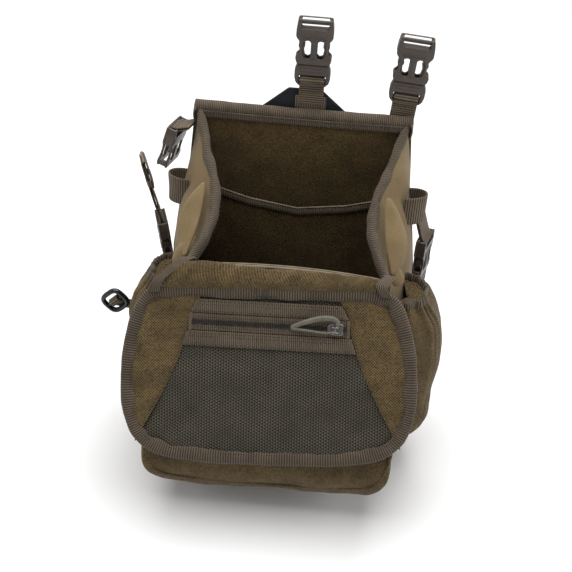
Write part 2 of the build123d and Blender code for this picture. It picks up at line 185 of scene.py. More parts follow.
def cloth(name, rows, thickness, closed=False, levels=1, uv=None):
    """A sheet of cloth of even thickness whose middle runs through the rows of points."""
    height, width = len(rows), len(rows[0])
    vertices = [p for row in rows for p in row]
    faces = []
    for i in range(height - 1):
        for j in range(width if closed else width - 1):
            k = (j + 1) % width
            faces.append((i * width + j, i * width + k, (i + 1) * width + k, (i + 1) * width + j))
    if uv is None:
        middle = rows[height // 2]
        along = [0.0]
        for a, b in zip(middle, middle[1:]):
            along.append(along[-1] + (b - a).length)
        down = [0.0]
        for a, b in zip(rows, rows[1:]):
            down.append(down[-1] + (b[width // 2] - a[width // 2]).length)
        uvs = [(along[j], down[i]) for i in range(height) for j in range(width)]
    else:
        uvs = [uv(p) for p in vertices]
    obj = mesh_object(name, vertices, faces, uvs)
    if thickness:
        solid = obj.modifiers.new("thickness", "SOLIDIFY")
        solid.thickness = thickness / 1000
        solid.offset = 0
    if levels:
        soft = obj.modifiers.new("soft", "SUBSURF")
        soft.levels = soft.render_levels = levels
    return apply_modifiers(obj)


def tape(name, points, across, down, profile, closed=False, scrunch=0.0, seed=0.0, thickness=0.9):
    """Tape swept along points; profile holds (across, down) pairs in millimetres."""
    rows = [[] for _ in profile]
    for point, side, into in zip(points, across, down):
        lift = 1 + wobble(point, 0.011, scrunch, seed)
        for row, (a, d) in zip(rows, profile):
            slip = Vector((0, 0, 0))
            if scrunch:
                slip = side * wobble(point, 0.007, 0.0009, seed + 9)
                slip = (slip + into * wobble(point, 0.02, 0.0011, seed)) * scrunch * 2
            row.append(point + side * (a * lift / 1000) + into * (d / 1000) + slip)
    return cloth(name, rows, thickness, closed=closed, levels=1)


def folded_profile(half, depth):
    """Binding folded over an edge: its section from one face, over the top, to the other."""
    return [
        (-half - 0.1, depth),
        (-half - 0.7, depth * 0.5),
        (-half - 0.5, 1.0),
        (-half * 0.62, -1.3),
        (0, -2.1),
        (half * 0.62, -1.3),
        (half + 0.5, 1.0),
        (half + 0.7, depth * 0.5),
        (half + 0.1, depth),
    ]


def ribbon(name, points, across, width, thickness, steps=6):
    """Flat webbing along points, lying across the given direction."""
    rows = []
    for k in range(steps + 1):
        offset = (k / steps - 0.5) * width / 1000
        rows.append([p + across * offset for p in points])
    return cloth(name, rows, thickness, levels=1)


def line_of(points, count, closed=False):
    """Evenly numbered points on the smooth curve through a few."""
    last = count if closed else count - 1
    return [catmull(points, k / last, closed) for k in range(count)]


def stitches(name, points, normal, length=2.3, gap=1.3, radius=0.28):
    """A row of sewn stitches along a line of points."""
    lengths = [0.0]
    for a, b in zip(points, points[1:]):
        lengths.append(lengths[-1] + (b - a).length)
    total = lengths[-1]
    count = max(int(total * 1000 / (length + gap)), 1)
    vertices, faces = [], []

    def at(distance):
        for k in range(len(points) - 1):
            if distance <= lengths[k + 1]:
                span = max(lengths[k + 1] - lengths[k], 1e-9)
                return points[k].lerp(points[k + 1], (distance - lengths[k]) / span)
        return points[-1]

    for k in range(count):
        start = at(k * total / count)
        end = at(k * total / count + length / 1000)
        along = (end - start)
        if along.length < 1e-6:
            continue
        along.normalize()
        n = normal(start) if callable(normal) else normal
        side = along.cross(n).normalized()
        base = len(vertices)
        for place_at, size in ((start, 0.5), (start.lerp(end, 0.5), 1.0), (end, 0.5)):
            for angle in range(6):
                ring = side * cos(angle * pi / 3) + n * sin(angle * pi / 3)
                vertices.append(place_at + ring * radius * size / 1000)
        for r in range(2):
            for a in range(6):
                b = (a + 1) % 6
                faces.append((base + r * 6 + a, base + r * 6 + b, base + r * 6 + 6 + b, base + r * 6 + 6 + a))
        faces.append(tuple(base + a for a in reversed(range(6))))
        faces.append(tuple(base + 12 + a for a in range(6)))
    return mesh_object(name, vertices, faces)


def tube(name, points, radii, sides=12, flat=1.0, normal=None, closed=False):
    """A round cord through points with its own radius, in millimetres, at each of them."""
    vertices, faces, uvs = [], [], []
    n, travelled = len(points), 0.0
    for i, p in enumerate(points):
        ahead = points[(i + 1) % n] if closed else points[min(i + 1, n - 1)]
        behind = points[i - 1] if (closed or i) else points[0]
        along = (ahead - behind).normalized()
        up = normal or Vector((0, 0, 1))
        side = along.cross(up)
        side = side.normalized() if side.length > 1e-6 else along.orthogonal().normalized()
        up = side.cross(along)
        travelled += (p - points[i - 1]).length if i else 0.0
        for j in range(sides):
            a = 2 * pi * j / sides
            vertices.append(p + (side * cos(a) + up * sin(a) * flat) * radii[i] / 1000)
            uvs.append((travelled, radii[i] * a / 1000))
    for i in range(n if closed else n - 1):
        m = (i + 1) % n
        for j in range(sides):
            k = (j + 1) % sides
            faces.append((i * sides + j, i * sides + k, m * sides + k, m * sides + j))
    if not closed:
        faces.append(tuple(reversed(range(sides))))
        faces.append(tuple((n - 1) * sides + j for j in range(sides)))
    return mesh_object(name, vertices, faces, uvs)


def plate(outlines, thickness, bevel, z=0.0):
    """Vertices and faces of a flat plate with holes, in millimetres, from closed outlines."""
    curve = bpy.data.curves.new("plate", "CURVE")
    curve.dimensions = "2D"
    curve.fill_mode = "BOTH"
    curve.extrude = max(thickness / 2 - bevel, 0.0)
    curve.bevel_depth = bevel
    curve.bevel_resolution = 2
    curve.offset = -bevel
    for outline in outlines:
        spline = curve.splines.new("POLY")
        spline.points.add(len(outline) - 1)
        for point, (x, y) in zip(spline.points, outline):
            point.co = (x, y, 0, 1)
        spline.use_cyclic_u = True
    obj = bpy.data.objects.new("plate", curve)
    bpy.context.collection.objects.link(obj)
    bpy.context.view_layer.update()
    mesh = bpy.data.meshes.new_from_object(obj.evaluated_get(bpy.context.evaluated_depsgraph_get()))
    vertices = [v.co + Vector((0, 0, z)) for v in mesh.vertices]
    faces = [tuple(p.vertices) for p in mesh.polygons]
    bpy.data.objects.remove(obj)
    bpy.data.curves.remove(curve)
    bpy.data.meshes.remove(mesh)
    return vertices, faces


def rod(start, end, radius, sides=16):
    """Vertices and faces of a round bar, in millimetres."""
    start, end = Vector(start), Vector(end)
    along = (end - start).normalized()
    side = along.orthogonal().normalized()
    other = along.cross(side)
    vertices, faces = [], []
    for centre in (start, end):
        for k in range(sides):
            angle = 2 * pi * k / sides
            vertices.append(centre + (side * cos(angle) + other * sin(angle)) * radius)
    for k in range(sides):
        n = (k + 1) % sides
        faces.append((k, n, sides + n, sides + k))
    faces.append(tuple(reversed(range(sides))))
    faces.append(tuple(range(sides, 2 * sides)))
    return vertices, faces


def moulded(name, parts, matrix):
    """One hard piece from several plates and rods, placed by a matrix in metres."""
    vertices, faces = [], []
    for part_vertices, part_faces in parts:
        base = len(vertices)
        vertices += [matrix @ (v / 1000) for v in part_vertices]
        faces += [tuple(base + i for i in face) for face in part_faces]
    obj = mesh_object(name, vertices, faces)
    obj.data.polygons.foreach_set("use_smooth", [False] * len(obj.data.polygons))
    smooth_by_angle(obj, 40)
    return obj


def smooth_by_angle(obj, degrees):
    """Smooth shading, with sharp edges left sharp."""
    work = bmesh.new()
    work.from_mesh(obj.data)
    bmesh.ops.remove_doubles(work, verts=work.verts, dist=1e-6)
    for face in work.faces:
        face.smooth = True
    for edge in work.edges:
        if len(edge.link_faces) == 2:
            edge.smooth = edge.calc_face_angle(0) < radians(degrees)
    work.to_mesh(obj.data)
    work.free()


def rounded(points, radius, steps=4):
    """A closed outline with its corners rounded."""
    result = []
    n = len(points)
    for k in range(n):
        before, here, after = (Vector(points[(k + d) % n]) for d in (-1, 0, 1))
        r = min(radius, (before - here).length * 0.45, (after - here).length * 0.45)
        start = here + (before - here).normalized() * r
        end = here + (after - here).normalized() * r
        for s in range(steps + 1):
            f = s / steps
            result.append(tuple(start * (1 - f) ** 2 + here * 2 * f * (1 - f) + end * f * f))
    return result


def both_ways(half):
    """A closed outline from its right half, bottom to top."""
    return list(half) + [(-x, y) for x, y in reversed(half)]


# ---------------------------------------------------------------- materials
class Finish:
    """A material with short calls for the nodes that it is built from."""

    def __init__(self, name, roughness=0.9, sheen=0.0, specular=0.3):
        self.material = bpy.data.materials.new(name)
        self.material.use_nodes = True
        self.tree = self.material.node_tree
        self.shader = self.tree.nodes["Principled BSDF"]
        self.shader.inputs["Roughness"].default_value = roughness
        self.shader.inputs["Specular IOR Level"].default_value = specular
        self.shader.inputs["Sheen Weight"].default_value = sheen
        self.shader.inputs["Sheen Roughness"].default_value = 0.5
        coordinates = self.tree.nodes.new("ShaderNodeTexCoord")
        split = self.tree.nodes.new("ShaderNodeSeparateXYZ")
        self.tree.links.new(coordinates.outputs["UV"], split.inputs[0])
        self.u, self.v = split.outputs[0], split.outputs[1]
        self.place = coordinates.outputs["Object"]

    def math(self, operation, a, b=0.0, c=0.0):
        """A math node; values may be numbers or sockets."""
        node = self.tree.nodes.new("ShaderNodeMath")
        node.operation = operation
        for socket, value in zip(node.inputs, (a, b, c)):
            if isinstance(value, (int, float)):
                socket.default_value = value
            else:
                self.tree.links.new(value, socket)
        return node.outputs[0]

    def wave(self, position, period, shift=0.0):
        """A smooth wave from 0 to 1 along a position in metres; the period is in millimetres."""
        phase = self.math("MULTIPLY_ADD", position, 2 * pi * 1000 / period, shift)
        return self.math("MULTIPLY_ADD", self.math("SINE", phase), 0.5, 0.5)

    def noise(self, size, detail=3.0, stretch=None):
        """Noise from 0 to 1 with lumps of a size in millimetres."""
        node = self.tree.nodes.new("ShaderNodeTexNoise")
        node.inputs["Scale"].default_value = 1000 / size
        node.inputs["Detail"].default_value = detail
        source = self.place
        if stretch:
            mapping = self.tree.nodes.new("ShaderNodeMapping")
            mapping.inputs["Scale"].default_value = stretch
            self.tree.links.new(source, mapping.inputs["Vector"])
            source = mapping.outputs[0]
        self.tree.links.new(source, node.inputs["Vector"])
        return node.outputs["Fac"]

    def blend(self, factor, dark, light, low=0.0, high=1.0):
        """A colour between two, as the factor goes from low to high."""
        ramp = self.tree.nodes.new("ShaderNodeValToRGB")
        ramp.color_ramp.elements[0].position = low
        ramp.color_ramp.elements[1].position = high
        ramp.color_ramp.elements[0].color = (*dark, 1)
        ramp.color_ramp.elements[1].color = (*light, 1)
        self.tree.links.new(factor, ramp.inputs[0])
        return ramp.outputs[0]

    def mix(self, factor, a, b, kind="MULTIPLY"):
        """One colour mixed into another."""
        node = self.tree.nodes.new("ShaderNodeMix")
        node.data_type = "RGBA"
        node.blend_type = kind
        if isinstance(factor, (int, float)):
            node.inputs["Factor"].default_value = factor
        else:
            self.tree.links.new(factor, node.inputs["Factor"])
        self.tree.links.new(a, node.inputs[6])
        self.tree.links.new(b, node.inputs[7])
        return node.outputs[2]

    def colour(self, socket):
        """Sets the base colour."""
        self.tree.links.new(socket, self.shader.inputs["Base Color"])
        return self

    def bump(self, height, depth, strength=1.0):
        """Bumps of a depth in millimetres from a height that goes from 0 to 1."""
        node = self.tree.nodes.new("ShaderNodeBump")
        node.inputs["Strength"].default_value = strength
        node.inputs["Distance"].default_value = depth / 1000
        self.tree.links.new(height, node.inputs["Height"])
        previous = self.shader.inputs["Normal"].links
        if previous:
            self.tree.links.new(previous[0].from_socket, node.inputs["Normal"])
        self.tree.links.new(node.outputs[0], self.shader.inputs["Normal"])
        return self

    def rough(self, factor, low, high):
        """Roughness from low to high, as the factor goes from 0 to 1."""
        value = self.math("MULTIPLY_ADD", factor, high - low, low)
        self.tree.links.new(value, self.shader.inputs["Roughness"])
        return self


def scaled(colour, amount):
    """A colour made lighter or darker."""
    return tuple(min(c * amount, 1.0) for c in colour)


def basket_weave(name, colour, thread=1.1):
    """A coarse basket weave: threads that pass over and under, with dark gaps between them."""
    f = Finish(name, 0.95, 0.1)
    one = f.wave(f.math("ADD", f.u, f.v), 2 * thread)
    two = f.wave(f.math("SUBTRACT", f.u, f.v), 2 * thread)
    gaps = f.math("MULTIPLY", one, two)
    slub = f.noise(2.0, 3)
    height = f.math("MULTIPLY_ADD", slub, 0.8, f.math("MULTIPLY", f.math("SUBTRACT", 1.0, gaps), 0.6))
    patchy = f.blend(f.noise(16, 5), scaled(colour, 0.72), scaled(colour, 1.28), 0.3, 0.7)
    threads = f.blend(height, (0.07, 0.065, 0.06), (1.0, 0.97, 0.9), 0.5, 0.98)
    f.colour(f.mix(1.0, patchy, threads))
    return f.bump(height, 0.7).material


def ribbed(name, colour, rib=1.5, across=False):
    """Grosgrain: fine ribs across the tape, with a thin selvedge."""
    f = Finish(name, 0.85, 0.1)
    ribs = f.wave(f.v if across else f.u, rib)
    fuzz = f.noise(0.9, 2)
    height = f.math("MULTIPLY_ADD", fuzz, 0.3, f.math("MULTIPLY", ribs, 0.8))
    wear = f.blend(f.noise(14, 4), scaled(colour, 0.8), scaled(colour, 1.18), 0.3, 0.7)
    lines = f.blend(height, (0.24, 0.23, 0.22), (1, 1, 1), 0.2, 0.8)
    f.colour(f.mix(1.0, wear, lines))
    return f.bump(height, 0.45).material


def brushed(name, colour, dark=0.8, light=1.15):
    """Close, slightly napped cloth with faint twill lines and rubbed patches."""
    f = Finish(name, 0.95, 0.12)
    nap = f.noise(1.4, 5)
    twill = f.wave(f.math("ADD", f.u, f.v), 1.7)
    tone = f.blend(f.noise(28, 5), scaled(colour, dark), scaled(colour, light), 0.3, 0.7)
    grain = f.blend(
        f.math("MULTIPLY_ADD", twill, 0.35, f.math("MULTIPLY", nap, 0.65)), (0.72,) * 3, (1.05,) * 3, 0.25,
        0.75
    )
    f.colour(f.mix(1.0, tone, grain))
    f.bump(nap, 0.3, 0.7)
    return f.bump(twill, 0.12, 0.6).material


def hex_mesh(name, strand, hole, pitch=2.7):
    """Hexagonal netting: pale strands round dark holes."""
    f = Finish(name, 0.7, 0.1)
    total = None
    for x, y in ((1, 0), (0.5, 0.866), (-0.5, 0.866)):
        along = f.math("ADD", f.math("MULTIPLY", f.u, x), f.math("MULTIPLY", f.v, y))
        one = f.wave(along, pitch * 0.866)
        total = one if total is None else f.math("ADD", total, one)
    net = f.math("DIVIDE", total, 3.0)
    colour = f.blend(net, strand, hole, 0.42, 0.58)
    shade = f.blend(f.noise(16, 3), (0.75,) * 3, (1.15,) * 3, 0.3, 0.7)
    f.colour(f.mix(1.0, colour, shade))
    return f.bump(f.math("SUBTRACT", 1.0, net), 0.5).material


def plain(name, colour, roughness=0.6, grain=0.5, depth=0.05, metallic=0.0, specular=0.5):
    """Moulded plastic, rubber or metal with a fine grain and worn patches."""
    f = Finish(name, roughness, 0.0, specular)
    f.shader.inputs["Metallic"].default_value = metallic
    fine = f.noise(grain, 4)
    worn = f.noise(9, 4)
    f.colour(f.blend(worn, scaled(colour, 0.8), scaled(colour, 1.25), 0.3, 0.75))
    f.rough(worn, roughness * 0.85, min(roughness * 1.2, 1.0))
    return f.bump(fine, depth, 0.6).material


TAN = (0.196, 0.138, 0.066)
BURLAP = (0.121, 0.083, 0.034)
TAPE = (0.128, 0.096, 0.064)
MATERIALS = {
    "body_cloth": brushed("body_cloth", TAN),
    "lining": basket_weave("lining", (0.095, 0.060, 0.019)),
    # the lining again, painted much darker for the inner faces of the side and front walls: painted shade
    "inner_wall_painted_shade": brushed("inner_wall_painted_shade", (0.045, 0.031, 0.016)),
    "burlap": basket_weave("burlap", BURLAP),
    "grosgrain": ribbed("grosgrain", TAPE),
    "band": ribbed("band", scaled(TAPE, 1.05), 1.5),
    # the lid's binding: the same tape painted darker, as painted shade for the rim's shaded underside
    "rim_tape_painted_shade": ribbed("rim_tape_painted_shade", scaled(TAPE, 0.8), 2.0),
    "webbing": ribbed("webbing", scaled(TAPE, 1.3), 1.9),
    "mesh": hex_mesh("mesh", (0.076, 0.064, 0.040), (0.003, 0.0028, 0.0024), 2.4),
    "pad_mesh": hex_mesh("pad_mesh", (0.05, 0.05, 0.05), (0.01, 0.01, 0.01), 4.0),
    "stiffener": plain("stiffener", (0.03, 0.03, 0.03)),
    "yoke_cloth": brushed("yoke_cloth", (0.012, 0.014, 0.019)),
    "coil": ribbed("coil", (0.04, 0.034, 0.027), 1.1),
    "slider_metal": plain("slider_metal", (0.22, 0.21, 0.2), 0.35, metallic=0.9),
    "pull_rubber": plain("pull_rubber", (0.115, 0.105, 0.078), 0.55),
    "clip_plastic": plain("clip_plastic", (0.006, 0.006, 0.007), 0.2, depth=0.01),
    "buckle_plastic": plain("buckle_plastic", (0.056, 0.041, 0.032), 0.38),
    "thread": plain("thread", (0.03, 0.022, 0.014), 0.8),
    "pale_thread": plain("pale_thread", (0.19, 0.15, 0.10), 0.8),
    # near-black: the yoke's dark thread, and painted shade for the strip just inside the front wall's top
    "dark_thread_and_painted_shade": plain("dark_thread_and_painted_shade", (0.02, 0.017, 0.013), 0.8),
}


def sewn(obj, body, slot, *nodes, material=None):
    """Places a piece with the material of its slot, or another."""
    return place(obj, MATERIALS[material or slot], body, slot, *nodes)


def sew(name, line, normal, body, slot, *sizes, material="thread"):
    """A row of stitches along a line; sizes are the stitch length, the gap and the radius."""
    return sewn(stitches(name, line, normal, *sizes), body, slot, material=material)


def cast(name, parts, seat, body, slot, *nodes, material=None):
    """A moulded piece at a seat."""
    return sewn(moulded(name, parts, seat.matrix()), body, slot, *nodes, material=material)


# ---------------------------------------------------------------- studio
def add_studio():
    """A pale floor and soft light from above and from both sides."""
    vertices = [Vector((x, y, -0.16)) for x, y in ((-6, -6), (6, -6), (6, 6), (-6, 6))]
    floor = mesh_object("floor", vertices, [(0, 1, 2, 3)])
    f = Finish("floor", 0.9)
    f.colour(f.blend(f.noise(400, 2), (0.88, 0.88, 0.88), (0.92, 0.92, 0.92)))
    floor.data.materials.append(f.material)
    world = bpy.data.worlds.new("studio")
    world.use_nodes = True
    world.node_tree.nodes["Background"].inputs[0].default_value = (1, 1, 1, 1)
    world.node_tree.nodes["Background"].inputs[1].default_value = 0.27
    bpy.context.scene.world = world
    lamps = (
        ("key", (-0.15, -0.05, 1.45), 30, 1.6),
        ("left", (1.4, -0.3, 0.5), 9, 1.2),
        ("right", (-1.4, -0.3, 0.5), 4, 1.2),
        ("rim", (0.3, 0.8, 1.3), 8, 0.8),
    )
    for name, spot, power, size in lamps:
        lamp = bpy.data.lights.new(name, "AREA")
        lamp.energy = power
        lamp.size = size
        obj = bpy.data.objects.new(name, lamp)
        bpy.context.collection.objects.link(obj)
        aim = Vector((0, -0.06, 0)) - Vector(spot)
        obj.location = spot
        obj.rotation_euler = aim.to_track_quat("-Z", "Y").to_euler()
    bpy.context.scene.view_settings.view_transform = "Standard"


add_studio()


# ---------------------------------------------------------------- local frames
class Seat:
    """A local frame in millimetres: X across, Y along, Z out of the piece."""

    def __init__(self, origin, along, across):
        self.origin = origin
        self.y = Vector(along).normalized()
        across = Vector(across)
        self.x = (across - self.y * across.dot(self.y)).normalized()
        self.z = self.x.cross(self.y)

    def at(self, x, y, z=0.0):
        return self.origin + (self.x * x + self.y * y + self.z * z) / 1000

    def moved(self, x, y, z=0.0):
        return Seat(self.at(x, y, z), self.y, self.x)

    def turned(self, degrees):
        """The same frame turned about its own X axis."""
        turn = Matrix.Rotation(radians(degrees), 3, self.x)
        return Seat(self.origin, turn @ self.y, self.x)

    def matrix(self):
        turn = Matrix((self.x, self.y, self.z)).transposed().to_4x4()
        return Matrix.Translation(self.origin) @ turn


LEVEL_LID = Seat(mm(0, HINGE_Y, HINGE_H), (0, cos(LID_OPEN), sin(LID_OPEN)), (1, 0, 0))
LID = Seat(
    LEVEL_LID.at(-12.6, -0.8), LEVEL_LID.y - LEVEL_LID.x * LID_SKEW, LEVEL_LID.x + LEVEL_LID.y * LID_SKEW
)
ZIP_SLANT = LID_SKEW - radians(2.0)  # the zip runs along its own joint's axis


def lid(x, d, t=0.0):
    """A point of the open lid: across, away from the hinge line, and behind its inner face."""
    return LID.at(x, -d, -t)


def between(pairs, at):
    """The value at a place in a list of (place, value) pairs, straight between them."""
    pairs = sorted(pairs)
    if at <= pairs[0][0]:
        return pairs[0][1]
    for (a, p), (b, q) in zip(pairs, pairs[1:]):
        if at <= b:
            return p + (q - p) * (at - a) / (b - a)
    return pairs[-1][1]


def spread(low, high, count):
    """Evenly spaced values from low to high, count steps apart."""
    return [low + (high - low) * k / count for k in range(count + 1)]


def bulge(t, power=2.0):
    """A rise from 0 at the ends of 0..1 to 1 in the middle."""
    return 1 - abs(2 * t - 1) ** power


# ---------------------------------------------------------------- walls of the compartment
SIDE_SECTIONS = [  # depth, then (x, height) up the outer face
    (LINING_Y, [(92, 0), (95, 60), (95, 130), (92, 195), (86, rim_height(LINING_Y))]),
    (-40.0, [(93, 0), (99, 60), (100, 130), (92, 190), (76, rim_height(-40))]),
    (-65.0, [(90, 0), (98, 60), (98, 120), (87, 170), (66, rim_height(-65))]),
    (-90.0, [(86, 0), (93, 60), (93, 110), (83, 150), (67, rim_height(-90))]),
    (FRONT_Y, [(80, 0), (84, 50), (84, 90), (83, 130), (80, rim_height(FRONT_Y))]),
]
BACK_HALF = [(0, 92), (60, 95), (130, 95), (195, 92), (BACK_H, 87)]
FRONT_HALF = [(0, 75), (50, 78.9), (90, 78.9), (130, 77.6), (FRONT_H, 72)]


def side_x(y, h):
    """Distance of a side panel's outer face from the middle, at a depth and a height."""
    return between([(s[0], between([(b, a) for a, b in s[1]], h)) for s in SIDE_SECTIONS], y)


def side_wall(side, inset):
    """Rows of points on a side panel, inset from its outer face."""
    sections = [[mm(side * (x - inset), y, h) for x, h in outer] for y, outer in SIDE_SECTIONS]
    return patch(sections, 22, 30)


def upright(half_widths, y, count=26, bow=0.0):
    """Rows of points on a flat upright panel, from the bottom up, bowed forwards in the middle."""
    rows = []
    for h in spread(0, half_widths[-1][0], count):
        half = between(half_widths, h)
        row = []
        for u in spread(-1, 1, 30):
            row.append(mm(half * u, y - bow * bulge((u + 1) / 2) * bulge(h / half_widths[-1][0]), h))
        rows.append(row)
    return rows


def add_walls():
    """The padded sides, the back and its lining, the front wall and the floor."""
    for side, word in SIDES.items():
        outer = crease(side_wall(side, 1.6), 0.045, 0.0022, side * 3.1)
        outer = crease(outer, 0.018, 0.0006, side * 5.3)
        skin = sewn(cloth(f"side_panel_{word}", outer, 2.4), "pack", "body_cloth", f"side_panel_{word}")
        inner = crease(side_wall(side, 3.9), 0.05, 0.0016, side * 7.7)
        # the inner faces take the darker copy of the lining, which paints shade on them
        sewn(cloth(f"side_lining_{word}", inner, 1.8), "pack", "lining", material="inner_wall_painted_shade")

    rear = crease(upright(BACK_HALF, -7.4), 0.06, 0.001, 2.0)
    sewn(cloth("back_panel", rear, 2.4), "pack", "body_cloth", "back_panel")
    lining = crease(upright(BACK_HALF, -12.4, bow=1.2), 0.055, 0.0024, 8.0)
    sewn(cloth("back_lining", lining, 2.6), "pack", "lining", "back_lining")

    front = crease(upright(FRONT_HALF, -112.2, bow=-1.0), 0.05, 0.0012, 4.0)
    sewn(cloth("front_panel", front, 2.6), "pack", "body_cloth", "front_panel")
    back = crease(upright(FRONT_HALF, -109.9, bow=-1.0), 0.05, 0.0008, 4.5)
    # the front wall's inner face also takes the darker lining: painted shade
    sewn(cloth("front_lining", back, 1.4), "pack", "lining", material="inner_wall_painted_shade")

    depths = spread(LINING_Y + 1, FRONT_Y + 2, 16)
    floor = [
        [mm((side_x(y, 0) - 5) * u, y, 2.6 - 0.8 * bulge((u + 1) / 2)) for u in spread(-1, 1, 24)]
        for y in depths
    ]
    sewn(cloth("base_panel", crease(floor, 0.04, 0.0008), 4.0), "pack", "lining", "base_panel")


def cushion(name, outline, front, rear, thickness, rings=9, channels=()):
    """A padded form over a closed outline; front and rear turn (x, y, rise) into points."""
    count = len(outline)
    centre = (sum(p[0] for p in outline) / count, sum(p[1] for p in outline) / count)
    vertices, faces, uvs = [], [], []
    shells = [(k / rings, 1) for k in range(rings + 1)] + [(k / rings, -1) for k in range(rings, 0, -1)]
    for s, face in shells:
        inset = 1 - (1 - s) ** 1.6
        rise = thickness * s**0.45
        for x, y in outline:
            px = x + (centre[0] - x) * inset
            py = y + (centre[1] - y) * inset
            dip = 1.0
            for line in channels:
                dip *= 1 - 0.55 * max(0.0, 1 - abs(py - line) / 5) ** 1.5
            make = front if face > 0 else rear
            vertices.append(make(px, py, rise * dip))
            uvs.append((px / 1000, py / 1000))
    total = len(shells)
    for r in range(total):
        if r == rings:
            continue
        n = (r + 1) % total
        for k in range(count):
            m = (k + 1) % count
            faces.append((r * count + k, r * count + m, n * count + m, n * count + k))
    return mesh_object(name, vertices, faces, uvs)


def smooth_outline(points, count):
    """Points on the smooth closed curve through a few (x, y) pairs."""
    corners = [Vector((x, y, 0)) for x, y in points]
    return [tuple(catmull(corners, k / count, True)[:2]) for k in range(count)]


def add_back_pad():
    """The channelled pad that lies on the chest."""
    half = [(40, 6), (70, 14), (80, 40), (80, 120), (80, 200), (64, 232), (30, 244)]
    outline = smooth_outline(both_ways(half), 96)

    def front(x, h, rise):
        return mm(x, -3.4 - rise * 0.3, h)

    def rear(x, h, rise):
        return mm(x, -3.4 + rise * 0.9, h)

    pad = cushion("back_pad", outline, front, rear, 3.6, channels=(62, 125, 188))
    soft = pad.modifiers.new("soft", "SUBSURF")
    soft.levels = soft.render_levels = 1
    apply_modifiers(pad)
    sewn(pad, "pack", "pad_mesh", "back_pad")


# ---------------------------------------------------------------- bound edges
def bind(
    name, points, across, body, slot, *nodes, half=3.0, depth=9.0, down=(0, 0, -1), scrunch=0.35, seed=0.0
):
    """Tape folded over an edge that runs along points; across points away from one face."""
    sides = across if isinstance(across, list) else [Vector(across)] * len(points)
    downs = [Vector(down)] * len(points)
    piece = tape(name, points, sides, downs, folded_profile(half, depth), scrunch=scrunch, seed=seed)
    return sewn(piece, body, slot, *nodes)


def add_rims():
    """Bindings, tape, stitches and corner tabs round the top of the compartment."""
    for side, word in SIDES.items():
        edge = [mm(side * (s[1][-1][0] - 2.6), s[0], rim_height(s[0]) + 1.2) for s in SIDE_SECTIONS]
        edge[0] = mm(side * 84.5, -9.0, BACK_H + 0.5)
        points = line_of(edge, 64)
        slant = Vector((0, RIM_SLOPE, -1)).normalized()
        bind(
            f"rim_binding_{word}", points, (side, 0, 0), "pack", "grosgrain", f"rim_binding_{word}",
            down=slant, depth=9.5, seed=side * 2.0
        )
        for face in (1, -1):
            seam = [p + Vector((side * face * 0.0043, 0, 0)) + slant * (0.0045 + 0.0028) for p in points]
            sew(
                f"rim_stitch_{word}_{'out' if face > 0 else 'in'}", seam, Vector((side * face, 0, 0)),
                "pack", "grosgrain"
            )
    top = [mm(x, -10.2, BACK_H + 1.4 - 0.8 * bulge((x / 88 + 1) / 2)) for x in spread(-87.5, 87.5, 60)]
    bind(
        "rim_binding_back", top, (0, -1, 0), "pack", "grosgrain", "rim_binding_back", half=3.8, depth=6.0,
        scrunch=0.25, seed=5.0
    )
    low = [mm(x, -15.3, 244.2 - 0.8 * bulge((x / 88 + 1) / 2)) for x in spread(-84, 84, 50)]
    flat = ribbon("back_tape", low, Vector((0, 0, 1)), 6.0, 1.2)
    sewn(flat, "pack", "grosgrain")
    for h in (242.4, 246.2):
        line = [mm(x, -16.2, h - 0.8 * bulge((x / 88 + 1) / 2)) for x in spread(-83, 83, 40)]
        sew(f"back_stitch_{int(h)}", line, Vector((0, -1, 0)), "pack", "grosgrain")
    for side, word in SIDES.items():
        rows = []
        for k in range(9):
            t = k / 8
            y = -5.4 - 12.0 * t
            row = []
            for j in range(7):
                x = 86.5 + 1.8 * bulge(j / 6) - 0.5 * t
                row.append(mm(side * x, y, 252.2 - 12 * j / 6 - 4 * t + 1.3 * bulge(t)))
            rows.append(row)
        sewn(cloth(f"corner_tab_{word}", rows, 1.1, levels=1), "pack", "grosgrain")


def add_sleeve():
    """The flat pocket that hangs on the back lining, and its bound edge."""
    half, count = 84.0, 40
    edge = [(-half, 181), (-40, 168), (0, 162), (40, 168), (half, 181)]

    def top(x):
        return between(edge, x) - 1.0

    rows = []
    for i in range(31):
        row = []
        for x in spread(-half, half, count):
            h = 6 + (top(x) - 6) * i / 30
            sides = max(0.0, (abs(x) - 76) / 8)
            foot = max(0.0, 1 - (h - 6) / 8)
            tuck = 5.2 * max(sides, foot) ** 2
            row.append(mm(x, -20.6 + tuck, h))
        rows.append(row)
    sheet = cloth("rear_sleeve", crease(rows, 0.05, 0.0022, 3.3, Vector((0, 1, 0))), 1.3)
    sewn(sheet, "pack", "lining", "rear_sleeve")
    line = [mm(x, -21.2, top(x) + 3.2) for x in spread(-half + 1, half - 1, 60)]
    bind(
        "sleeve_binding", line, (0, -1, 0), "pack", "grosgrain", "sleeve_binding", half=0.8, depth=5.0,
        scrunch=0.15, seed=11.0
    )
    crest = [p + Vector((0, -0.0006, 0.0022)) for p in line]
    sewn(tube("sleeve_edge", crest, [0.7] * len(crest)), "pack", "grosgrain", material="pale_thread")


add_walls()
add_back_pad()
add_rims()
add_sleeve()


# ---------------------------------------------------------------- pieces on the sides
EAR_EDGES = [  # inner and outer edges (x, y, height) of the two padded flaps at each front corner
    (
        [(72.5, -62, 208), (71.5, -76, 197), (74, -92, 184), (80, -108, 168)],
        [(79, -61, 209), (87, -74, 192), (91, -90, 172), (92, -108, 152)],
    ),
    (
        [(75, -93, 177), (77, -102, 169), (82, -109, 160)],
        [(80, -91, 179), (89, -102, 165), (93, -109, 150)],
    ),
]


